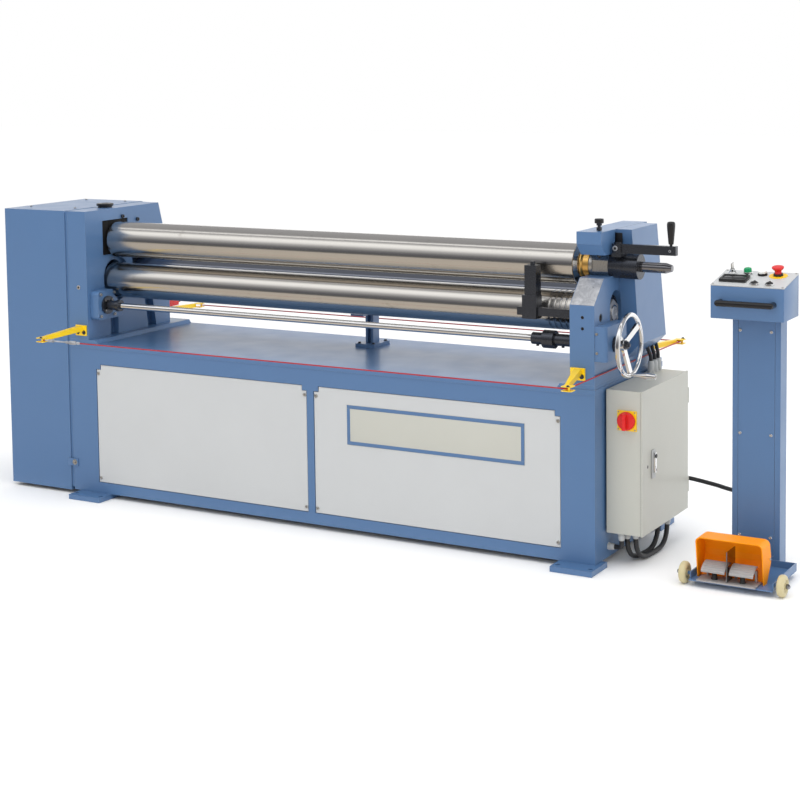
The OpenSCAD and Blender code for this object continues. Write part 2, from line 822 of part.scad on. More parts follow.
module door_latch() {
    color(BLACK) placed() {
        bar_x(door_x0, door_x1 + 1, pin_r, latch_y, latch_z);
        on_side(door_x1 + 0.4, door_x1 + 6, latch_y, latch_z) round_rect(34, 104, 10);
        on_side(door_x1 + 6, door_x1 + 14, latch_y, latch_z + 6) round_rect(20, 78, 8);
    }
}

switch_x = box_x0 + 80;
switch_z = box_z1 - 106;

module main_switch_plate() {
    color(YELLOW) placed() difference() {
        block([switch_x - 36, box_y0 - 6, switch_z - 36], [switch_x + 36, box_y0, switch_z + 36]);
        bar_y(box_y0 - 7, box_y0 - 1, pin_r + 0.05, switch_x, switch_z);
    }
}

module main_switch_knob() {
    color(RED) placed() {
        bar_y(box_y0 - 22, box_y0 - 6.5, 33, switch_x, switch_z);
        bar_y(box_y0 - 6.6, box_y0 - 1.2, pin_r, switch_x, switch_z);
        block([switch_x - 8, box_y0 - 40, switch_z - 30], [switch_x + 8, box_y0 - 22, switch_z + 30]);
    }
}

gland_r = 13;
top_gland_y = [box_y1 - 22, box_y1 - 58, box_y1 - 94];
top_gland_x = box_x0 + 26;
hose_y = 104;

module cable_glands() {
    color(GREY) placed() {
        for (y = top_gland_y) {
            bar_z(box_z1, box_z1 + 26, gland_r + 2, top_gland_x, y);
            bar_z(box_z1 + 26, box_z1 + 46, gland_r, top_gland_x, y);
        }
        for (p = [loop_inner_pts[0], last(loop_inner_pts), loop_outer_pts[0], last(loop_outer_pts)])
            bar_z(p[2], box_z0, gland_r, half_l + p[0], p[1]);
        bar_z(92, box_z0, gland_r, half_l + 58, hose_y);
        bar_x(half_l, half_l + 24, gland_r, hose_y + 18, 60);
        bar_x(half_l, half_l + link_pts[0][0], gland_r, link_pts[0][1], link_pts[0][2]);
        bar_y(tray_y1 + column_d, last(link_pts)[1], gland_r, half_l + last(link_pts)[0], last(link_pts)[2]);
    }
}

module box_conduits() {
    color(BLACK) placed() {
        tube([
            [half_l + 24, hose_y + 18, 60], [half_l + 30, hose_y + 18, 60], [half_l + 44, hose_y + 16, 62],
            [half_l + 54, hose_y + 8, 70], [half_l + 58, hose_y + 1, 82], [half_l + 58, hose_y, 87],
            [half_l + 58, hose_y, 92]
        ], loop_r);
        for (i = [0 : 2]) {
            y = top_gland_y[i];
            tube([
                [top_gland_x, y, box_z1 + 46], [top_gland_x, y, box_z1 + 52],
                [top_gland_x - 2, y + 3 - 2 * i, box_z1 + 66], [top_gland_x - 8, y + 8 - 5 * i, box_z1 + 82],
                [top_gland_x - 14, y + 12 - 8 * i, box_z1 + 100]
            ], 7);
        }
    }
}

module cable_loop_inner() {
    color(BLACK) placed() tube(from_end(loop_inner_pts), loop_r);
}

module cable_loop_outer() {
    color(BLACK) placed() tube(from_end(loop_outer_pts), loop_r);
}

module link_cable() {
    color(BLACK) placed() tube(from_end(link_pts), link_r);
}

// Control stand

// Moves shapes drawn about the stand's middle into place
module at_stand() {
    placed() translate([stand_x, 0, 0]) children();
}

module stand_tray() {
    color(BLUE) at_stand() {
        block([-tray_w / 2, tray_y0, tray_z0], [tray_w / 2, tray_y1, tray_floor]);
        for (x = [-tray_w / 2, tray_w / 2 - tray_t])
            block([x, tray_y0 + 12, tray_floor], [x + tray_t, tray_y1, tray_z0 + rim_h]);
        block(
            [-tray_w / 2 + tray_t, tray_y1 - tray_t, tray_floor],
            [tray_w / 2 - tray_t, tray_y1, tray_z0 + rim_h]
        );
        for (x = [-castor_x - 22, tray_w / 2])
            bar_x(x, x + castor_x + 22 - tray_w / 2, stub_r, castor_y, castor_r);
    }
}

cover_w = 132;
cover_t = 2.5;

module stand_column() {
    color(BLUE) at_stand() difference() {
        block([-column_w / 2, tray_y1, 0], [column_w / 2, tray_y1 + column_d, column_h]);
        block([-column_w / 2 + 4, tray_y1 + 4, -1], [column_w / 2 - 4, tray_y1 + column_d - 4, column_h - 4]);
        block([-cover_w / 2 - 1, tray_y1 - 1, 60], [cover_w / 2 + 1, tray_y1 + cover_t, column_h - 8]);
    }
}

module column_cover() {
    color(BLUE) at_stand()
        block([-cover_w / 2, tray_y1, 61], [cover_w / 2, tray_y1 + cover_t, column_h - 9]);
}

module control_box() {
    color(BLUE) at_stand() plate_x(-control_w / 2, control_w / 2, [
        [control_y0, column_h], [control_y1, column_h], [control_y1, column_h + control_back_h],
        [control_y0, column_h + control_front_h]
    ]);
}

// Moves shapes drawn on the slanted panel, from its front edge's middle, into place
module on_panel() {
    at_stand() translate([0, control_y0, column_h + control_front_h]) rotate([panel_slope, 0, 0]) children();
}

panel_depth = (control_y1 - control_y0) / cos(panel_slope);
plate_h = 3;

module control_panel() {
    color(GREY) on_panel() translate([-control_w / 2, 0, 0]) cube([control_w, panel_depth, plate_h]);
}

// A round control on the panel: a base ring and a cap
module panel_button(x, y, ring_r, ring_h, cap_r, cap_h) {
    translate([x, y, plate_h]) {
        cylinder(h = ring_h, r = ring_r);
        translate([0, 0, ring_h]) cylinder(h = cap_h, r = cap_r);
    }
}

stop_x = 71;
stop_y = 130;
stop_travel = 6;

module panel_controls() {
    color(BLACK) on_panel() {
        translate([-113, 35, plate_h]) cube([96, 60, 11]);
        panel_button(-94, 133, 15, 8, 9, 10);
        translate([-96, 120, plate_h + 18]) cube([4, 26, 22]);
        panel_button(-39, 134, 16, 10, 15, 13);
        panel_button(14, 133, 17, 8, 15, 6);
        panel_button(19, 23, 16, 8, 12, 4);
        panel_button(72, 24, 16, 8, 12, 4);
        difference() {
            union() {
                translate([stop_x, stop_y, plate_h]) cylinder(h = 2, r = 36);
                translate([stop_x, stop_y, plate_h + 2]) cylinder(h = 8, r = 17);
            }
            translate([stop_x, stop_y, plate_h + 1.5]) cylinder(h = 20, r = 12.1);
        }
    }
}

module emergency_stop() {
    color(RED) on_panel() translate([stop_x, stop_y, plate_h + 2 + stop_travel]) {
        cylinder(h = 20, r = 12);
        translate([0, 0, 14]) cylinder(h = 8, r1 = 14, r2 = 23);
        translate([0, 0, 22]) cylinder(h = 5, r = 23);
    }
}

handle_y = control_y0 - 34;
handle_z = column_h + 59;
handle_half = 94;

module control_handle() {
    color(BLACK) at_stand() {
        bar_x(-handle_half, handle_half, 11, handle_y, handle_z);
        for (s = [-1, 1]) {
            translate([s * handle_half, handle_y, handle_z]) sphere(11);
            bar_y(handle_y, control_y0, 11, s * handle_half, handle_z);
        }
    }
}

shroud_x = -14;
shroud_w = 238;
shroud_y0 = 12;
shroud_y1 = 110;
shroud_h = 146;
shroud_t = 4;
shroud_z = tray_floor;

// Moves shapes drawn about the pedal unit's middle into place
module at_pedals() {
    at_stand() translate([shroud_x, 0, 0]) children();
}

// Outline of the hood from the front, g inside its outer face and open below
module hood_front(g) {
    translate([0, shroud_h / 2]) round_rect(shroud_w - 2 * g, shroud_h - 2 * g, 20 - g);
    translate([g - shroud_w / 2, g > 0 ? -1 : 0]) square([shroud_w - 2 * g, shroud_h / 2]);
}

// Outline of the hood from the side, g inside its back and open in front
function hood_side(g) = [
    [g > 0 ? -40 : shroud_y0 + 24, -2], [g > 0 ? -40 : shroud_y0, shroud_h + 1],
    [shroud_y1 - 16 - g, shroud_h + 1], [shroud_y1 - g, 84], [shroud_y1 - g, 62], [shroud_y1 - 44 - g, -2]
];

module hood_form(g) {
    translate([0, 0, shroud_z]) intersection() {
        translate([0, shroud_y1 + 1, 0]) rotate([90, 0, 0]) linear_extrude(shroud_y1 + 60) hood_front(g);
        plate_x(-shroud_w, shroud_w, hood_side(g));
    }
}

module pedal_shroud() {
    color(ORANGE) at_pedals() difference() {
        hood_form(0);
        hood_form(shroud_t);
    }
}

pedal_w = 84;
pedal_x = 50;
pivot_y = 54;
pivot_z = tray_floor + 34;
pivot_r = 5;
divider_h = 110;

module pedal_base() {
    color(STEEL) at_pedals() {
        block([-104, -16, tray_floor], [104, 58, tray_floor + 5]);
        for (s = [-1, 1], d = [-1, 1])
            block(
                [s * pedal_x + d * 36 - 3, pivot_y - 8, tray_floor + 5],
                [s * pedal_x + d * 36 + 3, pivot_y + 8, pivot_z + 9]
            );
        for (s = [-1, 1]) bar_x(s * pedal_x - 36, s * pedal_x + 36, pivot_r, pivot_y, pivot_z);
    }
}

module pedal_divider() {
    color(STEEL) at_pedals() plate_x(-2, 2, [
        [-7, tray_floor + 5], [50, tray_floor + 5], [80, tray_floor + 50], [80, tray_floor + divider_h],
        [-4, tray_floor + divider_h]
    ]);
}

bend_r = 62;
bend_y = 44;
bend_z = tray_floor + 60 - bend_r;

// A treadle bent over its pivot, with a web down to its hub
module pedal(x) {
    color(STEEL) at_pedals() translate([x, 0, 0]) {
        intersection() {
            difference() {
                bar_x(-pedal_w / 2, pedal_w / 2, bend_r, bend_y, bend_z);
                bar_x(-pedal_w, pedal_w, bend_r - 4, bend_y, bend_z);
            }
            block([-pedal_w, -4, tray_floor + 20], [pedal_w, 52, tray_floor + 80]);
        }
        difference() {
            union() {
                bar_x(-26, 26, 11, pivot_y, pivot_z);
                plate_x(-26, 26, [
                    [pivot_y - 10, pivot_z], [pivot_y + 10, pivot_z], [51, tray_floor + 58],
                    [36, tray_floor + 58]
                ]);
            }
            bar_x(-40, 40, pivot_r + 0.05, pivot_y, pivot_z);
        }
    }
}

module pedal_left() {
    pedal(-pedal_x);
}

module pedal_right() {
    pedal(pedal_x);
}

// A wheel with a rounded tread on its stub axle
module castor(side) {
    color(CREAM) at_stand() translate([side * castor_x - castor_t / 2, castor_y, castor_r]) rotate([0, 90, 0])
        difference() {
            union() {
                translate([0, 0, 5]) cylinder(h = castor_t - 10, r = castor_r);
                cylinder(h = 5, r1 = castor_r - 6, r2 = castor_r);
                translate([0, 0, castor_t - 5]) cylinder(h = 5, r1 = castor_r, r2 = castor_r - 6);
            }
            translate([0, 0, -1]) cylinder(h = castor_t + 2, r = stub_r + 0.05);
        }
}

module wheel_left() {
    castor(-1);
}

module wheel_right() {
    castor(1);
}

base_front_wall();
base_rear_wall();
base_end_walls();
table_top();
foot_plates();
front_panels();
foot_strips();
gear_cabinet();
left_side_frame();
right_side_frame();
rear_slide_housing();
upper_bearing_sleeve();
bronze_bush();
worm_housing();
worm_cover();
shaft_flanges();
roll_support_post();
cone_attachment();
trip_brackets();
trip_wire();
trip_switch();
upper_roll();
roll_end_rod();
release_collar();
lower_bearings();
lower_roll();
rear_bearings();
rear_roll();
adjusting_shaft();
shaft_couplings();
handwheel();
release_lever();
lever_handle();
locking_knob();
electrical_box();
box_door();
door_latch();
main_switch_plate();
main_switch_knob();
cable_glands();
box_conduits();
cable_loop_inner();
cable_loop_outer();
link_cable();
stand_tray();
stand_column();
column_cover();
control_box();
control_panel();
panel_controls();
emergency_stop();
control_handle();
pedal_shroud();
pedal_base();
pedal_divider();
pedal_left();
pedal_right();
wheel_left();
wheel_right();
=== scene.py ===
"""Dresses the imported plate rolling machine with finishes, fittings, cables, light and a camera.

Lengths in the classes are millimetres, measured as on the machine: X along the rolls from the middle of the
base, Y from the front face of the base to the back, Z up from the floor. `place` turns them into the part's
frame in metres, whose origin is the middle of the anchor bolts.
"""

from __future__ import annotations

import json
import logging
import math
from contextlib import contextmanager
from dataclasses import dataclass
from enum import Enum
from typing import Callable, Iterable, Iterator, Sequence

import bpy
from bpy.types import Material, Node, NodeSocket, NodeTree, Object
from mathutils import Matrix, Vector

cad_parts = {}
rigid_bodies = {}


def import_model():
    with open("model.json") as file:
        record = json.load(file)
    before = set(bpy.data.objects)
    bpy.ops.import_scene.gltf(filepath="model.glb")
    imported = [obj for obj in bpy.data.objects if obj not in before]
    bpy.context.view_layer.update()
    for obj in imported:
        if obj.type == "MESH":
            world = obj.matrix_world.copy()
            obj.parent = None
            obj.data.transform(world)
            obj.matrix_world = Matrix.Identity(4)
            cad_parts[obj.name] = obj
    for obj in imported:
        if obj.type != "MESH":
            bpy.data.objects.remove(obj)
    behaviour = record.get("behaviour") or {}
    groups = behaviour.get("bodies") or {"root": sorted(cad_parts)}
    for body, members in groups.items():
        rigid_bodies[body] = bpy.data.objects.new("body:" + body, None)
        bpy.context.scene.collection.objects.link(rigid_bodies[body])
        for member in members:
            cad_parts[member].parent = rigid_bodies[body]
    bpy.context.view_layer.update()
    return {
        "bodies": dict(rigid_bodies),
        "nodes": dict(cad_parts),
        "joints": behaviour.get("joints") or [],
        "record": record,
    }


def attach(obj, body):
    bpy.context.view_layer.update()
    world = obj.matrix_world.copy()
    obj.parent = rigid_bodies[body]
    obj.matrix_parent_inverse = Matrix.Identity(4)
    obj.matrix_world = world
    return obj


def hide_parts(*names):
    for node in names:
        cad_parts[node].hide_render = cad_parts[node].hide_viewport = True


LOG = logging.getLogger("plate_roller")
MM = 0.001
BASE_DEPTH = 650.0
ANCHOR_MID = 27.5
HALF_L = 1192.0
FRAME_IN = 1097.0
FRAME_TOP = 1203.0
ROLL_Y = 195.0
UPPER_Z = 1071.0
LOWER_Z = 898.0
SHAFT_Y = 78.0
SHAFT_Z = 806.0
STAND_X = HALF_L + 500.0
ROOT = "machine"

Point = Sequence[float]
Pair = tuple[float, float]
Triple = tuple[float, float, float]
Corners = tuple[Triple, Triple]
Colour = Triple
Profile = Sequence[Pair]
Head = Callable[[str, Point, Vector, float], Object]


def place(x: float, y: float, z: float) -> Vector:
    """Gives a place on the machine in the part's frame, in metres."""
    return Vector((x - ANCHOR_MID, y - BASE_DEPTH / 2, z)) * MM


def channel(value: int) -> float:
    """Turns one channel of a screen colour, 0 to 255, into linear light."""
    part = value / 255
    return part / 12.92 if part <= 0.04045 else ((part + 0.055) / 1.055) ** 2.4


def linear(red: int, green: int, blue: int) -> Colour:
    """Turns a colour as seen on a screen, 0 to 255, into linear light."""
    return channel(red), channel(green), channel(blue)


class Axis(Enum):
    """Directions along which pieces are turned or extruded."""

    RIGHT = (1.0, 0.0, 0.0)
    LEFT = (-1.0, 0.0, 0.0)
    BACK = (0.0, 1.0, 0.0)
    FRONT = (0.0, -1.0, 0.0)
    UP = (0.0, 0.0, 1.0)
    DOWN = (0.0, 0.0, -1.0)

    @property
    def vector(self) -> Vector:
        """The direction as a vector."""
        return Vector(self.value)


class Bench:
    """Hand tools: each call makes or changes one mesh piece with Blender's own operators."""

    SMOOTH_ANGLE = math.radians(32)
    WELD = 0.000001

    @staticmethod
    def pick(*objs: Object) -> None:
        """Selects only these pieces, the first of them active."""
        bpy.ops.object.select_all(action="DESELECT")
        for obj in objs:
            obj.select_set(True)
        bpy.context.view_layer.objects.active = objs[0]

    @staticmethod
    def settle(obj: Object) -> None:
        """Puts a piece's place, turn and scale into its mesh."""
        Bench.pick(obj)
        bpy.ops.object.transform_apply(location=True, rotation=True, scale=True)

    @staticmethod
    def smooth(obj: Object) -> None:
        """Shades a piece smooth across its shallow edges."""
        Bench.pick(obj)
        bpy.ops.object.shade_smooth_by_angle(angle=Bench.SMOOTH_ANGLE)

    @staticmethod
    def soften(obj: Object, width: float, segments: int = 2, angle: float = 35.0) -> None:
        """Rounds a piece's sharp edges.

        Args:
            obj: The piece.
            width: Width of the rounding in millimetres.
            segments: Steps across the rounding.
            angle: Edges sharper than this, in degrees, are rounded.
        """
        Bench.pick(obj)
        bevel = obj.modifiers.new("rounding", "BEVEL")
        bevel.width = width * MM
        bevel.segments = segments
        bevel.limit_method = "ANGLE"
        bevel.angle_limit = math.radians(angle)
        bpy.ops.object.modifier_apply(modifier=bevel.name)

    @staticmethod
    def ring(name: str, corners: int, fill: str, radius: float = 1.0) -> Object:
        """Starts a piece as a ring of corners, open or filled, with its radius in metres."""
        bpy.ops.object.select_all(action="DESELECT")
        bpy.ops.mesh.primitive_circle_add(vertices=corners, radius=radius, fill_type=fill)
        obj = bpy.context.active_object
        obj.name = name
        return obj

    @staticmethod
    @contextmanager
    def editing() -> Iterator[None]:
        """Opens the active piece for edits, all of it selected, and at the end turns its faces outwards."""
        bpy.ops.object.mode_set(mode="EDIT")
        bpy.ops.mesh.select_all(action="SELECT")
        yield
        bpy.ops.mesh.select_all(action="SELECT")
        bpy.ops.mesh.normals_make_consistent(inside=False)
        bpy.ops.object.mode_set(mode="OBJECT")

    @staticmethod
    def stand(obj: Object, at: Point, along: Vector) -> Object:
        """Stands a piece made round the Z axis at a place on the machine, with its axis along a direction."""
        turn = along.normalized().to_track_quat("Z", "Y").to_matrix().to_4x4()
        obj.matrix_world = Matrix.Translation(place(*at)) @ turn
        Bench.settle(obj)
        Bench.smooth(obj)
        return obj

    @staticmethod
    def block(name: str, low: Point, high: Point, rounding: float = 1.0) -> Object:
        """Makes a block with rounded edges.

        Args:
            name: The piece's name.
            low: Lowest corner on the machine.
            high: Highest corner on the machine.
            rounding: Width of the edge rounding in millimetres.

        Returns:
            The finished piece.
        """
        bpy.ops.object.select_all(action="DESELECT")
        start, end = place(*low), place(*high)
        bpy.ops.mesh.primitive_cube_add(size=1.0, location=(start + end) / 2)
        obj = bpy.context.active_object
        obj.name = name
        obj.scale = end - start
        Bench.settle(obj)
        Bench.soften(obj, rounding)
        Bench.smooth(obj)
        return obj

    @staticmethod
    def turned(name: str, at: Point, along: Vector, profile: Profile, sides: int = 40) -> Object:
        """Makes a turned piece, as on a lathe, by extruding and resizing a disc.

        Args:
            name: The piece's name.
            at: The place on the machine where the profile's height is 0.
            along: Direction of the axis.
            profile: Pairs of height along the axis and radius, in millimetres.
            sides: Flats round the piece; 6 makes a hexagon.

        Returns:
            The finished piece.
        """
        height, radius = profile[0]
        obj = Bench.ring(name, sides, "NGON", radius * MM)
        with Bench.editing():
            bpy.ops.transform.translate(value=(0, 0, height * MM))
            for next_height, next_radius in profile[1:]:
                rise = (next_height - height) * MM
                bpy.ops.mesh.extrude_region_move(TRANSFORM_OT_translate={"value": (0, 0, rise)})
                factor = next_radius / radius
                bpy.ops.transform.resize(value=(factor, factor, 1))
                height, radius = next_height, next_radius
        return Bench.stand(obj, at, along)

    @staticmethod
    def lathe(name: str, at: Point, along: Vector, profile: Profile, sides: int = 48) -> Object:
        """Makes a ring by spinning a closed profile round an axis.

        Args:
            name: The piece's name.
            at: The place on the machine where the profile's height is 0.
            along: Direction of the axis.
            profile: Corners of the profile as height along the axis and radius, in millimetres.
            sides: Steps round the ring.

        Returns:
            The finished piece.
        """
        obj = Bench.ring(name, len(profile), "NOTHING")
        for vertex, (height, radius) in zip(obj.data.vertices, profile):
            vertex.co = Vector((radius, 0.0, height)) * MM
        with Bench.editing():
            bpy.ops.mesh.spin(steps=sides, angle=2 * math.pi, center=(0, 0, 0), axis=(0, 0, 1))
            bpy.ops.mesh.select_all(action="SELECT")
            bpy.ops.mesh.remove_doubles(threshold=Bench.WELD)
        return Bench.stand(obj, at, along)

    @staticmethod
    def outline(name: str, corners: Sequence[Point], reach: Vector, rounding: float = 0.0) -> Object:
        """Makes a flat piece from its corners and gives it thickness.

        Args:
            name: The piece's name.
            corners: Corners of the flat face on the machine, in order.
            reach: Direction and length of the thickness, in millimetres.
            rounding: Width of the edge rounding in millimetres.

        Returns:
            The finished piece.
        """
        obj = Bench.ring(name, len(corners), "NGON")
        for vertex, corner in zip(obj.data.vertices, corners):
            vertex.co = place(*corner)
        with Bench.editing():
            bpy.ops.mesh.extrude_region_move(TRANSFORM_OT_translate={"value": reach * MM})
        if rounding > 0:
            Bench.soften(obj, rounding)
        Bench.smooth(obj)
        return obj

    @staticmethod
    def route(name: str, points: Sequence[Point], radius: float) -> Object:
        """Makes a smooth round cable as a curve through points on the machine."""
        data = bpy.data.curves.new(name, "CURVE")
        data.dimensions = "3D"
        data.bevel_depth = radius * MM
        data.bevel_resolution = 6
        data.resolution_u = 10
        data.use_fill_caps = True
        spline = data.splines.new("BEZIER")
        spline.bezier_points.add(len(points) - 1)
        for knot, point in zip(spline.bezier_points, points):
            knot.co = place(*point)
            knot.handle_left_type = knot.handle_right_type = "AUTO"
        obj = bpy.data.objects.new(name, data)
        bpy.context.scene.collection.objects.link(obj)
        return obj

    @staticmethod
    def hose(name: str, points: Sequence[Point], radius: float) -> Object:
        """Makes a stiff round hose as a mesh through points on the machine."""
        obj = Bench.route(name, points, radius)
        Bench.pick(obj)
        bpy.ops.object.convert(target="MESH")
        obj = bpy.context.active_object
        Bench.smooth(obj)
        return obj

    @staticmethod
    def copies(obj: Object, shifts: Iterable[Point]) -> Object:
        """Copies a piece to other places and joins all into one.

        Args:
            obj: The piece as first modelled.
            shifts: Moves from the first place, in millimetres.

        Returns:
            One piece that holds the first and its copies.
        """
        made = [obj]
        for shift in shifts:
            Bench.pick(obj)
            bpy.ops.object.duplicate(linked=False)
            twin = bpy.context.active_object
            twin.location = Vector(shift) * MM
            Bench.settle(twin)
            made.append(twin)
        return Bench.join(obj.name, made)

    @staticmethod
    def row(obj: Object, step: Point, count: int) -> Object:
        """Repeats a piece at even steps, in millimetres, and joins the whole row into one."""
        return Bench.copies(obj, [Vector(step) * number for number in range(1, count)])

    @staticmethod
    def scatter(obj: Object, spots: Sequence[Point]) -> Object:
        """Copies a piece that stands at the first of some places to the others and joins all into one."""
        return Bench.copies(obj, [Vector(spot) - Vector(spots[0]) for spot in spots[1:]])

    @staticmethod
    def join(name: str, objs: Sequence[Object]) -> Object:
        """Joins pieces into one."""
        if len(objs) > 1:
            Bench.pick(*objs)
            bpy.ops.object.join()
        objs[0].name = name
        return objs[0]

    @staticmethod
    def sink(obj: Object, facing: Vector, margin: float, depth: float) -> None:
        """Insets the faces that look one way and sinks them.

        Args:
            obj: The piece.
            facing: The direction that the faces look.
            margin: Width left standing round the edge, in millimetres.
            depth: How far the middle is sunk, in millimetres.
        """
        Bench.pick(obj)
        bpy.ops.object.mode_set(mode="EDIT")
        bpy.ops.mesh.select_mode(type="FACE")
        bpy.ops.mesh.select_all(action="DESELECT")
        bpy.ops.object.mode_set(mode="OBJECT")
        for face in obj.data.polygons:
            face.select = face.normal.dot(facing) > 0.99
        bpy.ops.object.mode_set(mode="EDIT")
        bpy.ops.mesh.inset(thickness=margin * MM)
        bpy.ops.mesh.extrude_region_move(TRANSFORM_OT_translate={"value": -facing * depth * MM})
        bpy.ops.object.mode_set(mode="OBJECT")

    @staticmethod
    def hex_bolt(name: str, at: Point, along: Vector, across: float) -> Object:
        """Makes a hexagon bolt head on its washer, across flats as given."""
        corner = across / math.sqrt(3)
        thick, top, crown = across * 0.11, across * 0.55, across * 0.55 + across * 0.09
        washer = Bench.turned(
            name + "_washer", at, along,
            [(0, across * 0.92), (across * 0.08, across * 0.92), (thick, across * 0.86)]
        )
        head = Bench.turned(
            name, at, along,
            [(thick, corner), (top, corner), (crown, corner * 0.84), (crown, corner * 0.3)], 6
        )
        return Bench.join(name, [head, washer])

    @staticmethod
    def cap_screw(name: str, at: Point, along: Vector, diameter: float) -> Object:
        """Makes a socket cap screw's head."""
        radius = diameter / 2
        return Bench.turned(name, at, along, [
            (0, radius), (diameter * 0.5, radius), (diameter * 0.56, radius * 0.9),
            (diameter * 0.56, radius * 0.55), (diameter * 0.2, radius * 0.5),
        ], 24)

    @staticmethod
    def pan_screw(name: str, at: Point, along: Vector, diameter: float) -> Object:
        """Makes a pan-head screw with a dimpled crown."""
        radius = diameter / 2
        return Bench.turned(name, at, along, [
            (0, radius), (diameter * 0.16, radius), (diameter * 0.28, radius * 0.82),
            (diameter * 0.33, radius * 0.5), (diameter * 0.2, radius * 0.28),
        ], 20)


def add_node(
    tree: NodeTree, kind: str, operation: str = "", inputs: dict[str | int, object] | None = None
) -> Node:
    """Adds a shader node.

    Args:
        tree: The node tree.
        kind: The node's type, without the ShaderNode that every type starts with.
        operation: What a maths node does.
        inputs: Values by the socket's name or number.

    Returns:
        The new node.
    """
    node = tree.nodes.new("ShaderNode" + kind)
    if operation:
        node.operation = operation
    for label, value in (inputs or {}).items():
        node.inputs[label].default_value = value
    return node


def wire(tree: NodeTree, *links: tuple[Node, str | int, Node, str | int]) -> None:
    """Links nodes, each link given as a node, its output, the next node and its input."""
    for source, output, target, entry in links:
        tree.links.new(source.outputs[output], target.inputs[entry])


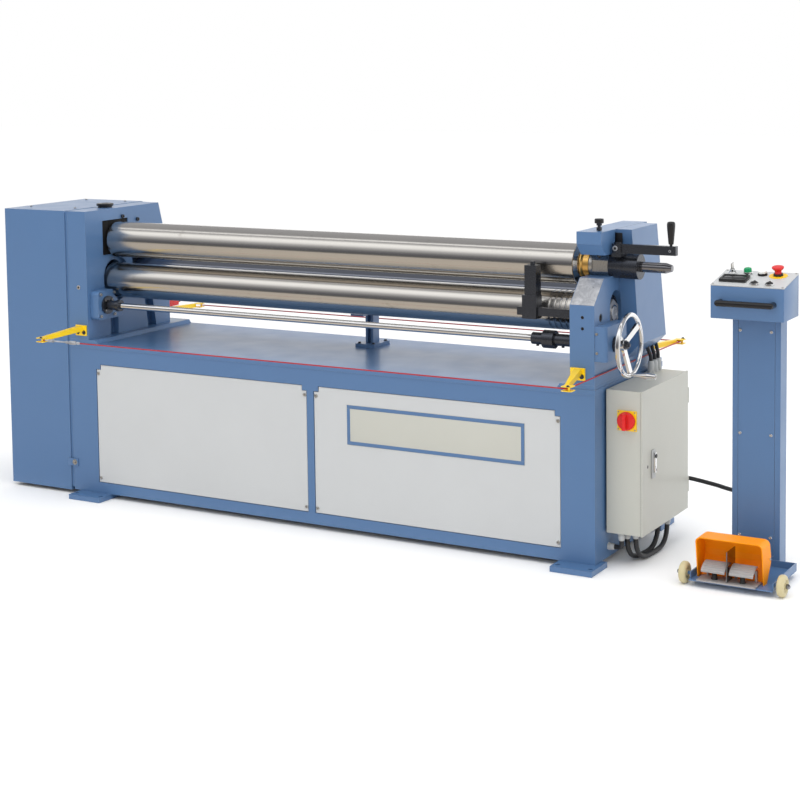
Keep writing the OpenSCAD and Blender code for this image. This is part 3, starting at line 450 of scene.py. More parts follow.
class ShaderKit:
    """Shader node groups that several finishes share, each built once."""

    def __init__(self) -> None:
        """Builds every group."""
        self.mottle = self._mottle()
        self.skin = self._skin()
        self.grain = self._grain()
        self.scuffs = self._scuffs()
        self.edges = self._edges()

    @staticmethod
    def _group(name: str, inputs: dict[str, tuple[str, object]], outputs: dict[str, str]) -> NodeTree:
        """Starts a group with named sockets.

        Args:
            name: The group's name.
            inputs: Socket name to its short type and default.
            outputs: Socket name to its short type.

        Returns:
            The new group.
        """
        kinds = {"float": "NodeSocketFloat", "colour": "NodeSocketColor", "vector": "NodeSocketVector"}
        tree = bpy.data.node_groups.new(name, "ShaderNodeTree")
        for label, (kind, default) in inputs.items():
            socket = tree.interface.new_socket(label, in_out="INPUT", socket_type=kinds[kind])
            socket.default_value = default
        for label, kind in outputs.items():
            tree.interface.new_socket(label, in_out="OUTPUT", socket_type=kinds[kind])
        tree.nodes.new("NodeGroupInput")
        tree.nodes.new("NodeGroupOutput")
        return tree

    @staticmethod
    def _ends(tree: NodeTree) -> tuple[Node, Node, Node]:
        """Gives a group's input and output nodes and a new texture coordinate node."""
        return tree.nodes["Group Input"], tree.nodes["Group Output"], add_node(tree, "TexCoord")

    def _mottle(self) -> NodeTree:
        """Builds broad, soft changes of a colour over a surface."""
        tree = self._group(
            "broad_mottle",
            {"Color": ("colour", (0.5, 0.5, 0.5, 1)), "Amount": ("float", 0.05), "Size": ("float", 3.0)},
            {"Color": "colour", "Fac": "float"},
        )
        source, target, coords = self._ends(tree)
        noise = add_node(tree, "TexNoise", inputs={"Detail": 5.0, "Roughness": 0.6})
        centred = add_node(tree, "Math", "SUBTRACT", {1: 0.5})
        spread = add_node(tree, "Math", "MULTIPLY_ADD", {2: 1.0})
        tint = add_node(tree, "VectorMath", "SCALE")
        wire(
            tree, (coords, "Object", noise, "Vector"), (source, "Size", noise, "Scale"),
            (noise, "Fac", centred, 0), (centred, 0, spread, 0), (source, "Amount", spread, 1),
            (source, "Color", tint, 0), (spread, 0, tint, "Scale"), (tint, 0, target, "Color"),
            (noise, "Fac", target, "Fac"),
        )
        return tree

    def _skin(self) -> NodeTree:
        """Builds the fine ripple of sprayed paint or moulded plastic."""
        tree = self._group(
            "fine_skin",
            {"Size": ("float", 400.0), "Roughness": ("float", 0.4), "Spread": ("float", 0.08)},
            {"Height": "float", "Roughness": "float"},
        )
        source, target, coords = self._ends(tree)
        fine = add_node(tree, "TexNoise", inputs={"Detail": 2.0})
        patch = add_node(tree, "TexNoise", inputs={"Scale": 9.0, "Detail": 6.0})
        centred = add_node(tree, "Math", "SUBTRACT", {1: 0.5})
        spread = add_node(tree, "Math", "MULTIPLY_ADD")
        wire(
            tree, (coords, "Object", fine, "Vector"), (coords, "Object", patch, "Vector"),
            (source, "Size", fine, "Scale"), (patch, "Fac", centred, 0), (centred, 0, spread, 0),
            (source, "Spread", spread, 1), (source, "Roughness", spread, 2), (fine, "Fac", target, "Height"),
            (spread, 0, target, "Roughness"),
        )
        return tree

    def _grain(self) -> NodeTree:
        """Builds the drawn-out marks that a tool leaves on metal."""
        tree = self._group("tool_grain", {"Stretch": ("vector", (600.0, 30.0, 30.0))}, {"Fac": "float"})
        source, target, coords = self._ends(tree)
        stretch = add_node(tree, "VectorMath", "MULTIPLY")
        noise = add_node(tree, "TexNoise", inputs={"Scale": 1.0, "Detail": 4.0, "Roughness": 0.65})
        wire(
            tree, (coords, "Object", stretch, 0), (source, "Stretch", stretch, 1),
            (stretch, 0, noise, "Vector"), (noise, "Fac", target, "Fac"),
        )
        return tree

    def _scuffs(self) -> NodeTree:
        """Builds a mask of sparse small scuffs and dust specks."""
        tree = self._group(
            "scuffs", {"Size": ("float", 40.0), "Threshold": ("float", 0.68)}, {"Mask": "float"}
        )
        source, target, coords = self._ends(tree)
        noise = add_node(tree, "TexNoise", inputs={"Detail": 9.0, "Roughness": 0.72, "Distortion": 0.6})
        ramp = add_node(tree, "MapRange", inputs={"From Max": 0.85})
        wire(
            tree, (coords, "Object", noise, "Vector"), (source, "Size", noise, "Scale"),
            (noise, "Fac", ramp, "Value"), (source, "Threshold", ramp, "From Min"),
            (ramp, "Result", target, "Mask"),
        )
        return tree

    def _edges(self) -> NodeTree:
        """Builds a softly rounded normal at sharp edges and a mask of the wear there."""
        tree = self._group(
            "edge_wear", {"Radius": ("float", 0.0015), "Amount": ("float", 0.3)},
            {"Normal": "vector", "Mask": "float"}
        )
        source, target, coords = self._ends(tree)
        bevel = add_node(tree, "Bevel")
        bevel.samples = 4
        surface = add_node(tree, "NewGeometry")
        turn = add_node(tree, "VectorMath", "DOT_PRODUCT")
        sharp = add_node(tree, "MapRange", inputs={"From Min": 0.99, "From Max": 0.8})
        patchy = add_node(tree, "TexNoise", inputs={"Scale": 26.0, "Detail": 6.0})
        worn = add_node(tree, "Math", "MULTIPLY")
        scaled = add_node(tree, "Math", "MULTIPLY")
        wire(
            tree, (source, "Radius", bevel, "Radius"), (bevel, "Normal", turn, 0),
            (surface, "Normal", turn, 1), (turn, "Value", sharp, "Value"),
            (coords, "Object", patchy, "Vector"), (sharp, "Result", worn, 0), (patchy, "Fac", worn, 1),
            (worn, 0, scaled, 0), (source, "Amount", scaled, 1), (bevel, "Normal", target, "Normal"),
            (scaled, 0, target, "Mask"),
        )
        return tree


class Recipe:
    """A material under construction: its node tree and its one shader."""

    def __init__(self, name: str) -> None:
        """Starts a material from Blender's own Principled shader and output."""
        self.material = bpy.data.materials.new(name)
        self.material.use_nodes = True
        self.tree = self.material.node_tree
        self.shader = self.tree.nodes["Principled BSDF"]

    def group(self, tree: NodeTree, **values: object) -> Node:
        """Places a shared group and sets its inputs by name."""
        node = self.tree.nodes.new("ShaderNodeGroup")
        node.node_tree = tree
        for label, value in values.items():
            node.inputs[label].default_value = value
        return node

    def link(self, source: NodeSocket, target: NodeSocket) -> None:
        """Joins two sockets."""
        self.tree.links.new(source, target)

    def feed(self, label: str, source: NodeSocket) -> None:
        """Joins a socket to one of the shader's inputs."""
        self.link(source, self.shader.inputs[label])

    def shade(self, values: dict[str, object]) -> None:
        """Sets plain values on the shader's inputs."""
        for label, value in values.items():
            self.shader.inputs[label].default_value = value

    def mix(self, fac: NodeSocket, first: NodeSocket, second: Colour) -> NodeSocket:
        """Lays a plain colour over another where a mask says so."""
        node = self.tree.nodes.new("ShaderNodeMix")
        node.data_type = "RGBA"
        self.link(fac, node.inputs["Factor"])
        self.link(first, node.inputs[6])
        node.inputs[7].default_value = (*second, 1.0)
        return node.outputs[2]

    def bump(self, height: NodeSocket, strength: float, distance: float, normal: NodeSocket) -> None:
        """Feeds a height over a normal into the shader, the distance in millimetres."""
        node = add_node(self.tree, "Bump", inputs={"Strength": strength, "Distance": distance * MM})
        self.link(normal, node.inputs["Normal"])
        self.link(height, node.inputs["Height"])
        self.feed("Normal", node.outputs["Normal"])

    def scale_range(self, fac: NodeSocket, low: float, high: float) -> NodeSocket:
        """Maps a mask from 0.3 to 0.7 onto a range of values."""
        node = add_node(
            self.tree, "MapRange", inputs={"From Min": 0.3, "From Max": 0.7, "To Min": low, "To Max": high}
        )
        self.link(fac, node.inputs["Value"])
        return node.outputs["Result"]


@dataclass(frozen=True)
class Paint:
    """Sprayed paint on sheet or plate steel."""

    slot: str
    colour: Colour
    roughness: float = 0.36
    ripple: float = 0.05
    coat: float = 0.06
    dust: Colour = (0.5, 0.51, 0.53)
    wear: Colour = (0.42, 0.46, 0.52)
    specular: float = 0.5
    name: str = ""

    def material(self, kit: ShaderKit) -> Material:
        """Builds the paint."""
        recipe = Recipe(self.name or self.slot)
        mottle = recipe.group(kit.mottle, Color=(*self.colour, 1.0), Amount=0.1, Size=2.4)
        scuffs = recipe.group(kit.scuffs, Size=22.0, Threshold=0.7)
        skin = recipe.group(kit.skin, Size=420.0, Roughness=self.roughness, Spread=0.16)
        edges = recipe.group(kit.edges, Radius=0.0018, Amount=0.55)
        dusty = recipe.mix(scuffs.outputs["Mask"], mottle.outputs["Color"], self.dust)
        recipe.feed("Base Color", recipe.mix(edges.outputs["Mask"], dusty, self.wear))
        recipe.feed("Roughness", skin.outputs["Roughness"])
        recipe.bump(skin.outputs["Height"], 0.25, self.ripple, edges.outputs["Normal"])
        recipe.shade({"Coat Weight": self.coat, "Coat Roughness": 0.22, "Specular IOR Level": self.specular})
        return recipe.material


@dataclass(frozen=True)
class Metal:
    """Bare metal with the marks of the tool that worked it."""

    slot: str
    colour: Colour
    stain: Colour
    roughness: Pair = (0.2, 0.34)
    stretch: Triple = (900.0, 25.0, 25.0)
    depth: float = 0.02
    metallic: float = 1.0
    cloud: float = 0.12
    bright: Colour = (0.72, 0.71, 0.7)
    turned: float = 0.0
    scuff: Pair = (14.0, 0.6)
    name: str = ""

    def material(self, kit: ShaderKit) -> Material:
        """Builds the metal."""
        recipe = Recipe(self.name or self.slot)
        mottle = recipe.group(kit.mottle, Color=(*self.colour, 1.0), Amount=self.cloud, Size=5.0)
        grain = recipe.group(kit.grain, Stretch=self.stretch)
        scuffs = recipe.group(kit.scuffs, Size=self.scuff[0], Threshold=self.scuff[1])
        edges = recipe.group(kit.edges, Radius=0.001, Amount=0.5)
        stained = recipe.mix(scuffs.outputs["Mask"], mottle.outputs["Color"], self.stain)
        recipe.feed("Base Color", recipe.mix(edges.outputs["Mask"], stained, self.bright))
        recipe.feed("Roughness", recipe.scale_range(grain.outputs["Fac"], *self.roughness))
        recipe.bump(grain.outputs["Fac"], 0.3, self.depth, edges.outputs["Normal"])
        recipe.shade({"Metallic": self.metallic})
        if self.turned > 0:
            around = add_node(recipe.tree, "Tangent")
            around.direction_type = "RADIAL"
            around.axis = "X"
            recipe.feed("Tangent", around.outputs["Tangent"])
            recipe.shade({"Anisotropic": self.turned, "Anisotropic Rotation": 0.25})
        return recipe.material


@dataclass(frozen=True)
class Moulding:
    """Moulded plastic or rubber."""

    slot: str
    colour: Colour
    roughness: float = 0.45
    texture: float = 700.0
    depth: float = 0.04
    rub: Colour = (0.3, 0.3, 0.3)
    name: str = ""

    def material(self, kit: ShaderKit) -> Material:
        """Builds the plastic or rubber."""
        recipe = Recipe(self.name or self.slot)
        mottle = recipe.group(kit.mottle, Color=(*self.colour, 1.0), Amount=0.14, Size=14.0)
        skin = recipe.group(kit.skin, Size=self.texture, Roughness=self.roughness, Spread=0.2)
        edges = recipe.group(kit.edges, Radius=0.001, Amount=0.3)
        recipe.feed("Base Color", recipe.mix(edges.outputs["Mask"], mottle.outputs["Color"], self.rub))
        recipe.feed("Roughness", skin.outputs["Roughness"])
        recipe.bump(skin.outputs["Height"], 0.3, self.depth, edges.outputs["Normal"])
        return recipe.material


FINISHES: dict[str, Paint | Metal | Moulding] = {
    "blue_paint": Paint("blue_paint", linear(79, 114, 157), coat=0.16),
    "grey_paint": Paint("grey_paint", linear(192, 194, 195), roughness=0.4, coat=0.03, wear=(0.7, 0.7, 0.7)),
    "box_paint": Paint(
        "grey_paint", linear(188, 188, 179), roughness=0.42, coat=0.05, wear=(0.62, 0.62, 0.6),
        name="box_paint"
    ),
    "pale_panel": Paint(
        "grey_paint", linear(214, 216, 218), roughness=0.34, coat=0.0, wear=(0.75, 0.75, 0.75),
        name="pale_panel"
    ),
    "yellow_paint": Paint("yellow_paint", linear(250, 208, 6), roughness=0.34, wear=(0.9, 0.78, 0.3)),
    "orange_paint": Paint(
        "orange_paint", linear(252, 152, 0), roughness=0.46, coat=0.0, dust=(0.88, 0.36, 0.02),
        wear=(0.9, 0.5, 0.1), specular=0.15
    ),
    "polished_steel": Metal(
        "polished_steel", linear(204, 201, 196), linear(170, 165, 158), (0.15, 0.2), (1400.0, 9.0, 9.0),
        0.001, cloud=0.08, turned=0.85
    ),
    # A darker, bluish copy of the polished steel for the rear roll: painted shade and painted blue
    # reflection, as that roll lies in the shadow of the other two.
    "oiled_steel": Metal(
        "polished_steel", linear(124, 128, 138), linear(104, 106, 112), (0.15, 0.2), (1400.0, 9.0, 9.0),
        0.001, cloud=0.08, bright=(0.3, 0.31, 0.33), turned=0.85, name="oiled_steel"
    ),
    "ground_steel": Metal(
        "machined_steel", linear(160, 162, 167), linear(226, 227, 230), (0.26, 0.46), (60.0, 160.0, 30.0),
        0.03, 0.5, cloud=0.3, scuff=(26.0, 0.46), name="ground_steel"
    ),
    "dark_steel": Metal(
        "machined_steel", linear(140, 140, 144), linear(104, 104, 106), (0.14, 0.24), (500.0, 60.0, 60.0),
        0.008, bright=(0.4, 0.4, 0.41), name="dark_steel"
    ),
    "machined_steel": Metal(
        "machined_steel", linear(190, 188, 184), linear(140, 136, 130), (0.22, 0.42), (700.0, 60.0, 60.0)
    ),
    "chrome": Metal(
        "chrome", linear(226, 226, 226), linear(190, 190, 188), (0.05, 0.12), (60.0, 60.0, 60.0),
        0.003, 1.0, 0.06
    ),
    "black_steel": Metal(
        "black_steel", linear(72, 75, 82), linear(92, 92, 94), (0.2, 0.32), (900.0, 300.0, 300.0), 0.004, 0.8,
        bright=(0.26, 0.27, 0.28)
    ),
    "bronze": Metal(
        "bronze", linear(236, 190, 112), linear(196, 146, 80), (0.26, 0.4), (900.0, 40.0, 40.0),
        bright=(0.88, 0.7, 0.4)
    ),
    "pedal_steel": Metal(
        "pedal_steel", linear(166, 164, 164), linear(132, 130, 130), (0.4, 0.58), (60.0, 300.0, 60.0),
        0.03, 0.25
    ),
    "red_sheath": Moulding("red_sheath", linear(168, 28, 40), 0.4, rub=(0.6, 0.12, 0.12)),
    "red_plastic": Moulding("red_plastic", linear(214, 26, 26), 0.28, rub=(0.8, 0.16, 0.14)),
    "yellow_plastic": Moulding("yellow_plastic", linear(250, 204, 16), 0.3, rub=(0.95, 0.75, 0.2)),
    "black_plastic": Moulding("black_plastic", linear(28, 28, 30), 0.34, rub=(0.08, 0.08, 0.09)),
    "grey_plastic": Moulding("grey_plastic", linear(178, 180, 180), 0.46, rub=(0.6, 0.6, 0.6)),
    "cable_rubber": Moulding("cable_rubber", linear(40, 40, 42), 0.5, 500.0, rub=(0.08, 0.08, 0.08)),
    "cream_plastic": Moulding("cream_plastic", linear(202, 190, 148), 0.42, rub=(0.8, 0.76, 0.6)),
    "green_plastic": Moulding(
        "grey_plastic", linear(16, 148, 92), 0.26, rub=(0.1, 0.5, 0.3), name="green_plastic"
    ),
    "white_plastic": Moulding(
        "grey_plastic", linear(234, 234, 230), 0.28, rub=(0.85, 0.85, 0.85), name="white_plastic"
    ),
    "gloss_black": Moulding(
        "black_plastic", linear(24, 24, 27), 0.14, 300.0, 0.004, (0.06, 0.06, 0.07), "gloss_black"
    ),
    # Near-black and matte: painted shade, laid in pockets where light hardly reaches, not a material of the
    # machine.
    "dull_black": Moulding(
        "black_plastic", linear(14, 14, 15), 0.8, 500.0, rub=(0.02, 0.02, 0.02), name="dull_black"
    ),
    "dark_window": Moulding(
        "black_plastic", linear(26, 28, 32), 0.1, 200.0, 0.003, (0.05, 0.05, 0.05), "dark_window"
    ),
}

NODE_FINISHES: dict[str, tuple[str, ...]] = {
    "blue_paint": (
        "base_front_wall", "base_rear_wall", "base_end_walls", "table_top", "foot_plates", "foot_strips",
        "gear_cabinet", "left_side_frame", "right_side_frame", "rear_slide_housing", "worm_housing",
        "worm_cover", "roll_support_post", "stand_tray", "stand_column", "column_cover",
    ),
    "grey_paint": ("front_panels", "control_panel"),
    "box_paint": ("electrical_box", "box_door"),
    "yellow_paint": ("trip_brackets",),
    "orange_paint": ("pedal_shroud",),
    "polished_steel": ("upper_roll", "lower_roll"),
    # The rear roll takes the darker copy of the polished steel, which paints its shade.
    "oiled_steel": ("rear_roll",),
    "machined_steel": ("rear_bearings", "upper_bearing_sleeve"),
    "dark_steel": ("roll_end_rod", "pedal_divider"),
    "chrome": ("adjusting_shaft", "handwheel"),
    "black_steel": (
        "shaft_flanges", "cone_attachment", "release_collar", "shaft_couplings", "release_lever",
        # lower_bearings is black so that the slot round the bearing cap reads dark: painted shade.
        "locking_knob", "lower_bearings",
    ),
    "bronze": ("bronze_bush",),
    "pedal_steel": ("pedal_base", "pedal_left", "pedal_right"),
    "red_sheath": ("trip_wire",),
    "red_plastic": ("trip_switch",),
    "yellow_plastic": ("main_switch_plate",),
    "gloss_black": ("control_handle",),
}


class Fitter:
    """Gives pieces their finish and fixes them to the body that carries them."""

    def __init__(self, nodes: dict[str, Object]) -> None:
        """Builds the finishes and dresses the CAD nodes.

        Args:
            nodes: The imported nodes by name.
        """
        kit = ShaderKit()
        self.materials = {name: finish.material(kit) for name, finish in FINISHES.items()}
        for finish, names in NODE_FINISHES.items():
            for name in names:
                nodes[name].data.materials.clear()
                nodes[name].data.materials.append(self.materials[finish])

    def fit(self, obj: Object, finish: str, body: str = ROOT) -> Object:
        """Finishes a piece and fixes it to a body.

        Args:
            obj: The piece, in place.
            finish: Name of the finish.
            body: Name of the body that carries it.

        Returns:
            The same piece.
        """
        obj.data.materials.clear()
        obj.data.materials.append(self.materials[finish])
        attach(obj, body)
        LOG.info("fitted %s to %s", obj.name, body)
        return obj

    def fasten(
        self, head: Head, name: str, size: float, along: Vector, spots: Sequence[Point],
        finish: str = "machined_steel", body: str = ROOT
    ) -> Object:
        """Sets one kind of screw or bolt at several places, as one piece.

        Args:
            head: The hand tool that makes one.
            name: The piece's name.
            size: Diameter or width of a head, in millimetres.
            along: Direction that the heads face.
            spots: Their places on the machine.
            finish: Name of the finish.
            body: Name of the body that carries them.

        Returns:
            The finished piece.
        """
        return self.fit(Bench.scatter(head(name, spots[0], along, size), spots), finish, body)


@dataclass
class Studio:
    """Floor, light and camera."""

    camera_at: Triple = (3572.2, -5530.9, 1833.8)
    yaw: float = 29.944
    pitch: float = 4.796
    roll: float = -0.727
    focal_px: float = 1720.6
    centre_px: Pair = (393.9, 200.0)
    image_px: float = 800.0
    floor_half: float = 30000.0
    floor_drop: float = 0.5
    floor_white: float = 0.965
    sky: float = 1.04
    aim: Triple = (200.0, 200.0, 700.0)
    card_light: float = 1.4

    def build(self) -> None:
        """Sets up the whole studio."""
        bpy.context.scene.view_settings.view_transform = "Standard"
        self._floor()
        self._world()
        self._lamps()
        self._cards()
        self._camera()

    def _floor(self) -> None:
        """Lays a plain white floor."""
        bpy.ops.object.select_all(action="DESELECT")
        bpy.ops.mesh.primitive_plane_add(
            size=2 * self.floor_half * MM, location=(0, 0, -self.floor_drop * MM)
        )
        floor = bpy.context.active_object
        floor.name = "studio_floor"
        recipe = Recipe("studio_floor")
        white = (self.floor_white, self.floor_white, self.floor_white, 1.0)
        recipe.shade({"Base Color": white, "Roughness": 0.9, "Specular IOR Level": 0.0})
        floor.data.materials.append(recipe.material)

    def _world(self) -> None:
        """Surrounds the object with even white light."""
        world = bpy.data.worlds.new("studio_world")
        bpy.context.scene.world = world
        world.use_nodes = True
        tree = world.node_tree
        backdrop = tree.nodes["Background"]
        backdrop.inputs["Color"].default_value = (1.0, 1.0, 1.0, 1.0)
        rays = add_node(tree, "LightPath")
        seen = add_node(tree, "Math", "MAXIMUM")
        also = add_node(tree, "Math", "MAXIMUM")
        level = add_node(tree, "MapRange", inputs={"To Min": self.sky, "To Max": 1.0})
        wire(
            tree, (rays, "Is Camera Ray", seen, 0), (rays, "Is Glossy Ray", seen, 1), (seen, 0, also, 0),
            (rays, "Is Transmission Ray", also, 1), (also, 0, level, "Value"),
            (level, "Result", backdrop, "Strength"),
        )

    def _lamp(self, name: str, at: Point, size: Pair, power: float) -> None:
        """Hangs one soft lamp that faces the machine and that shiny surfaces don't show.

        Args:
            name: The lamp's name.
            at: Its place on the machine's scale.
            size: Its width and height in metres.
            power: Its power in watts.
        """
        data = bpy.data.lights.new(name, "AREA")
        data.shape = "RECTANGLE"
        data.size, data.size_y = size
        data.energy = power
        lamp = bpy.data.objects.new(name, data)
        start, end = place(*at), place(*self.aim)
        turn = (end - start).to_track_quat("-Z", "Y").to_matrix().to_4x4()
        lamp.matrix_world = Matrix.Translation(start) @ turn
        lamp.visible_glossy = False
        bpy.context.scene.collection.objects.link(lamp)

    def _lamps(self) -> None:
        """Hangs the soft lamps."""
        self._lamp("top_softbox", (1500, -700, 5600), (7.0, 4.0), 130.0)
        self._lamp("front_softbox", (600, -5200, 3200), (5.0, 2.5), 12.0)

    def _card(
        self, name: str, size: Pair, at: Point, upright: bool, stops: Sequence[tuple[float, Colour]]
    ) -> None:
        """Stands a large card that only shiny surfaces show, shaded from one edge to the other.

        Args:
            name: The card's name.
            size: Its length along the rolls and its height or depth, in metres.
            at: Its middle, in metres.
            upright: Whether it stands or lies.
            stops: Places along its height or depth, in metres, with their light.
        """
        bpy.ops.object.select_all(action="DESELECT")
        bpy.ops.mesh.primitive_plane_add(size=1.0, rotation=(math.pi / 2 if upright else 0.0, 0, 0))
        card = bpy.context.active_object
        card.name = name
        card.scale = (size[0], size[1], 1.0)
        card.location = at
        Bench.settle(card)
        recipe = Recipe(name)
        low, high = stops[0][0], stops[-1][0]
        coords = add_node(recipe.tree, "TexCoord")
        parts = add_node(recipe.tree, "SeparateXYZ")
        span = add_node(recipe.tree, "MapRange", inputs={"From Min": low, "From Max": high})
        ramp = add_node(recipe.tree, "ValToRGB")
        while len(ramp.color_ramp.elements) < len(stops):
            ramp.color_ramp.elements.new(1.0)
        for element, (spot, light) in zip(ramp.color_ramp.elements, stops):
            element.position = (spot - low) / (high - low)
            element.color = (*light, 1.0)
        wire(
            recipe.tree, (coords, "Object", parts, 0), (parts, "Z" if upright else "Y", span, "Value"),
            (span, "Result", ramp, "Fac"),
        )
        recipe.feed("Emission Color", ramp.outputs["Color"])
        black = (0.0, 0.0, 0.0, 1.0)
        recipe.shade({"Base Color": black, "Specular IOR Level": 0.0, "Emission Strength": self.card_light})
        card.data.materials.append(recipe.material)
        card.visible_camera = card.visible_diffuse = card.visible_transmission = card.visible_shadow = False

    def _cards(self) -> None:
        """Stands the cards that the rolls and the chrome mirror."""
        self._card("front_card", (50.0, 13.0), (0.0, -9.0, 6.5), True, [
            (0.0, (0.12, 0.12, 0.12)), (1.6, (0.1, 0.1, 0.11)), (3.2, (0.16, 0.16, 0.17)),
            (6.0, (0.42, 0.42, 0.43)), (9.4, (0.9, 0.9, 0.9)), (13.0, (1.0, 1.0, 1.0)),
        ])
        self._card("ceiling_card", (50.0, 18.0), (0.0, 0.0, 13.0), False, [
            (-9.0, (1.0, 1.0, 1.0)), (-7.0, (1.0, 1.0, 1.0)), (-4.5, (0.42, 0.42, 0.43)),
            (-2.7, (0.3, 0.3, 0.31)), (-2.5, (1.0, 1.0, 1.0)), (-1.0, (1.0, 1.0, 1.0)),
            (-0.8, (0.3, 0.3, 0.31)), (9.0, (0.34, 0.34, 0.35)),
        ])
        self._card("back_card", (50.0, 13.0), (0.0, 9.0, 6.5), True, [
            (0.0, (1.0, 1.0, 1.0)), (3.4, (1.0, 1.0, 1.0)), (5.0, (0.34, 0.34, 0.35)),
            (13.0, (0.34, 0.34, 0.35)),
        ])
        self._card("floor_card", (50.0, 8.55), (0.0, -4.725, 0.003), False, [
            (-9.0, (0.2, 0.19, 0.18)), (-6.0, (0.46, 0.42, 0.37)), (-1.2, (0.5, 0.45, 0.39)),
            (-0.45, (0.3, 0.28, 0.25)),
        ])

    def _camera(self) -> None:
        """Stands the camera where the photograph was taken."""
        yaw, pitch, roll = (math.radians(a) for a in (self.yaw, self.pitch, self.roll))
        ahead = Vector((-math.sin(yaw) * math.cos(pitch), math.cos(yaw) * math.cos(pitch), -math.sin(pitch)))
        level = Vector((math.cos(yaw), math.sin(yaw), 0.0))
        rise = level.cross(ahead)
        right = math.cos(roll) * level + math.sin(roll) * rise
        above = -math.sin(roll) * level + math.cos(roll) * rise
        data = bpy.data.cameras.new("photo_camera")
        data.sensor_width = 36.0
        data.lens = self.focal_px * data.sensor_width / self.image_px
        data.shift_x = (self.image_px / 2 - self.centre_px[0]) / self.image_px
        data.shift_y = (self.centre_px[1] - self.image_px / 2) / self.image_px
        data.clip_end = 200.0
        camera = bpy.data.objects.new("photo_camera", data)
        turn = Matrix((right, above, -ahead)).transposed().to_4x4()
        camera.matrix_world = Matrix.Translation(place(*self.camera_at)) @ turn
        bpy.context.scene.collection.objects.link(camera)
        bpy.context.scene.camera = camera


@dataclass
class BaseTrim:
    """Panel screws, the blank plate, the lug, the rear covers and the support post's bolts on the base."""

    panel_spans: tuple[Pair, ...] = ((-1057, -18), (18, 1057))
    screw_inset: float = 8.0
    screw_heights: Pair = (84, 527)
    screw_d: float = 14.0
    cover_z: Pair = (67, 563)
    plate_low: Pair = (165, 350)
    plate_high: Pair = (918, 506)
    plate_y: Pair = (0.8, 2.4)
    border_y: Pair = (0.5, 1.2)
    border_w: float = 14.0
    border_inset: float = 1.0
    lug: Corners = ((-1222, -5, 121), (-1167, 0, 153))
    lug_bolt: Triple = (-1184, -5, 138)
    post_xs: Pair = (-33, 33)
    post_ys: Pair = (431, 529)
    post_z: float = 664.0

    def build(self, fitter: Fitter) -> None:
        """Fits every piece on the base."""
        fitter.fasten(Bench.pan_screw, "panel_screws", self.screw_d, Axis.FRONT.vector, self._spots(2))
        self._blank_plate(fitter)
        self._lug(fitter)
        self._rear_covers(fitter)
        posts = [(x, y, self.post_z) for x in self.post_xs for y in self.post_ys]
        fitter.fasten(Bench.hex_bolt, "post_bolts", 10, Axis.UP.vector, posts, "black_steel")

    def _spots(self, y: float) -> list[Point]:
        """Gives the screw places of both panels at one depth."""
        edges = [
            x
            for low, high in self.panel_spans
            for x in (low + self.screw_inset, high - self.screw_inset)
        ]
        return [(x, y, z) for x in edges for z in self.screw_heights]

    def _blank_plate(self, fitter: Fitter) -> None:
        """Fixes the large plate, left blank inside a plain border, to the right panel."""
        (x0, z0), (x1, z1) = self.plate_low, self.plate_high
        front, back = self.plate_y
        fitter.fit(Bench.block("blank_plate", (x0, front, z0), (x1, back, z1), 0.6), "box_paint")
        left, right = x0 + self.border_inset, x1 - self.border_inset
        low, high = z0 + self.border_inset, z1 - self.border_inset
        edge, (front, back) = self.border_w, self.border_y
        strips = (
            ((left, low), (right, low + edge)),
            ((left, high - edge), (right, high)),
            ((left, low + edge), (left + edge, high - edge)),
            ((right - edge, low + edge), (right, high - edge)),
        )
        border = [Bench.block("plate_border", (a, front, b), (c, back, d), 0.1) for (a, b), (c, d) in strips]
        fitter.fit(Bench.join("plate_border", border), "blue_paint")

    def _lug(self, fitter: Fitter) -> None:
        """Bolts the lug that ties the cabinet to the base."""
        fitter.fit(Bench.block("cabinet_lug", *self.lug, 1.2), "blue_paint")
        fitter.fit(Bench.hex_bolt("lug_bolt", self.lug_bolt, Axis.FRONT.vector, 13), "machined_steel")

    def _rear_covers(self, fitter: Fitter) -> None:
        """Closes the base's back with two thin covers."""
        y, (low_z, high_z) = BASE_DEPTH, self.cover_z
        covers = [
            Bench.block("rear_cover", (low, y - 0.5, low_z), (high, y + 2, high_z), 0.8)
            for low, high in self.panel_spans
        ]
        fitter.fit(Bench.join("rear_covers", covers), "grey_paint")
        fitter.fasten(
            Bench.pan_screw, "rear_cover_screws", self.screw_d, Axis.BACK.vector, self._spots(y + 2)
        )


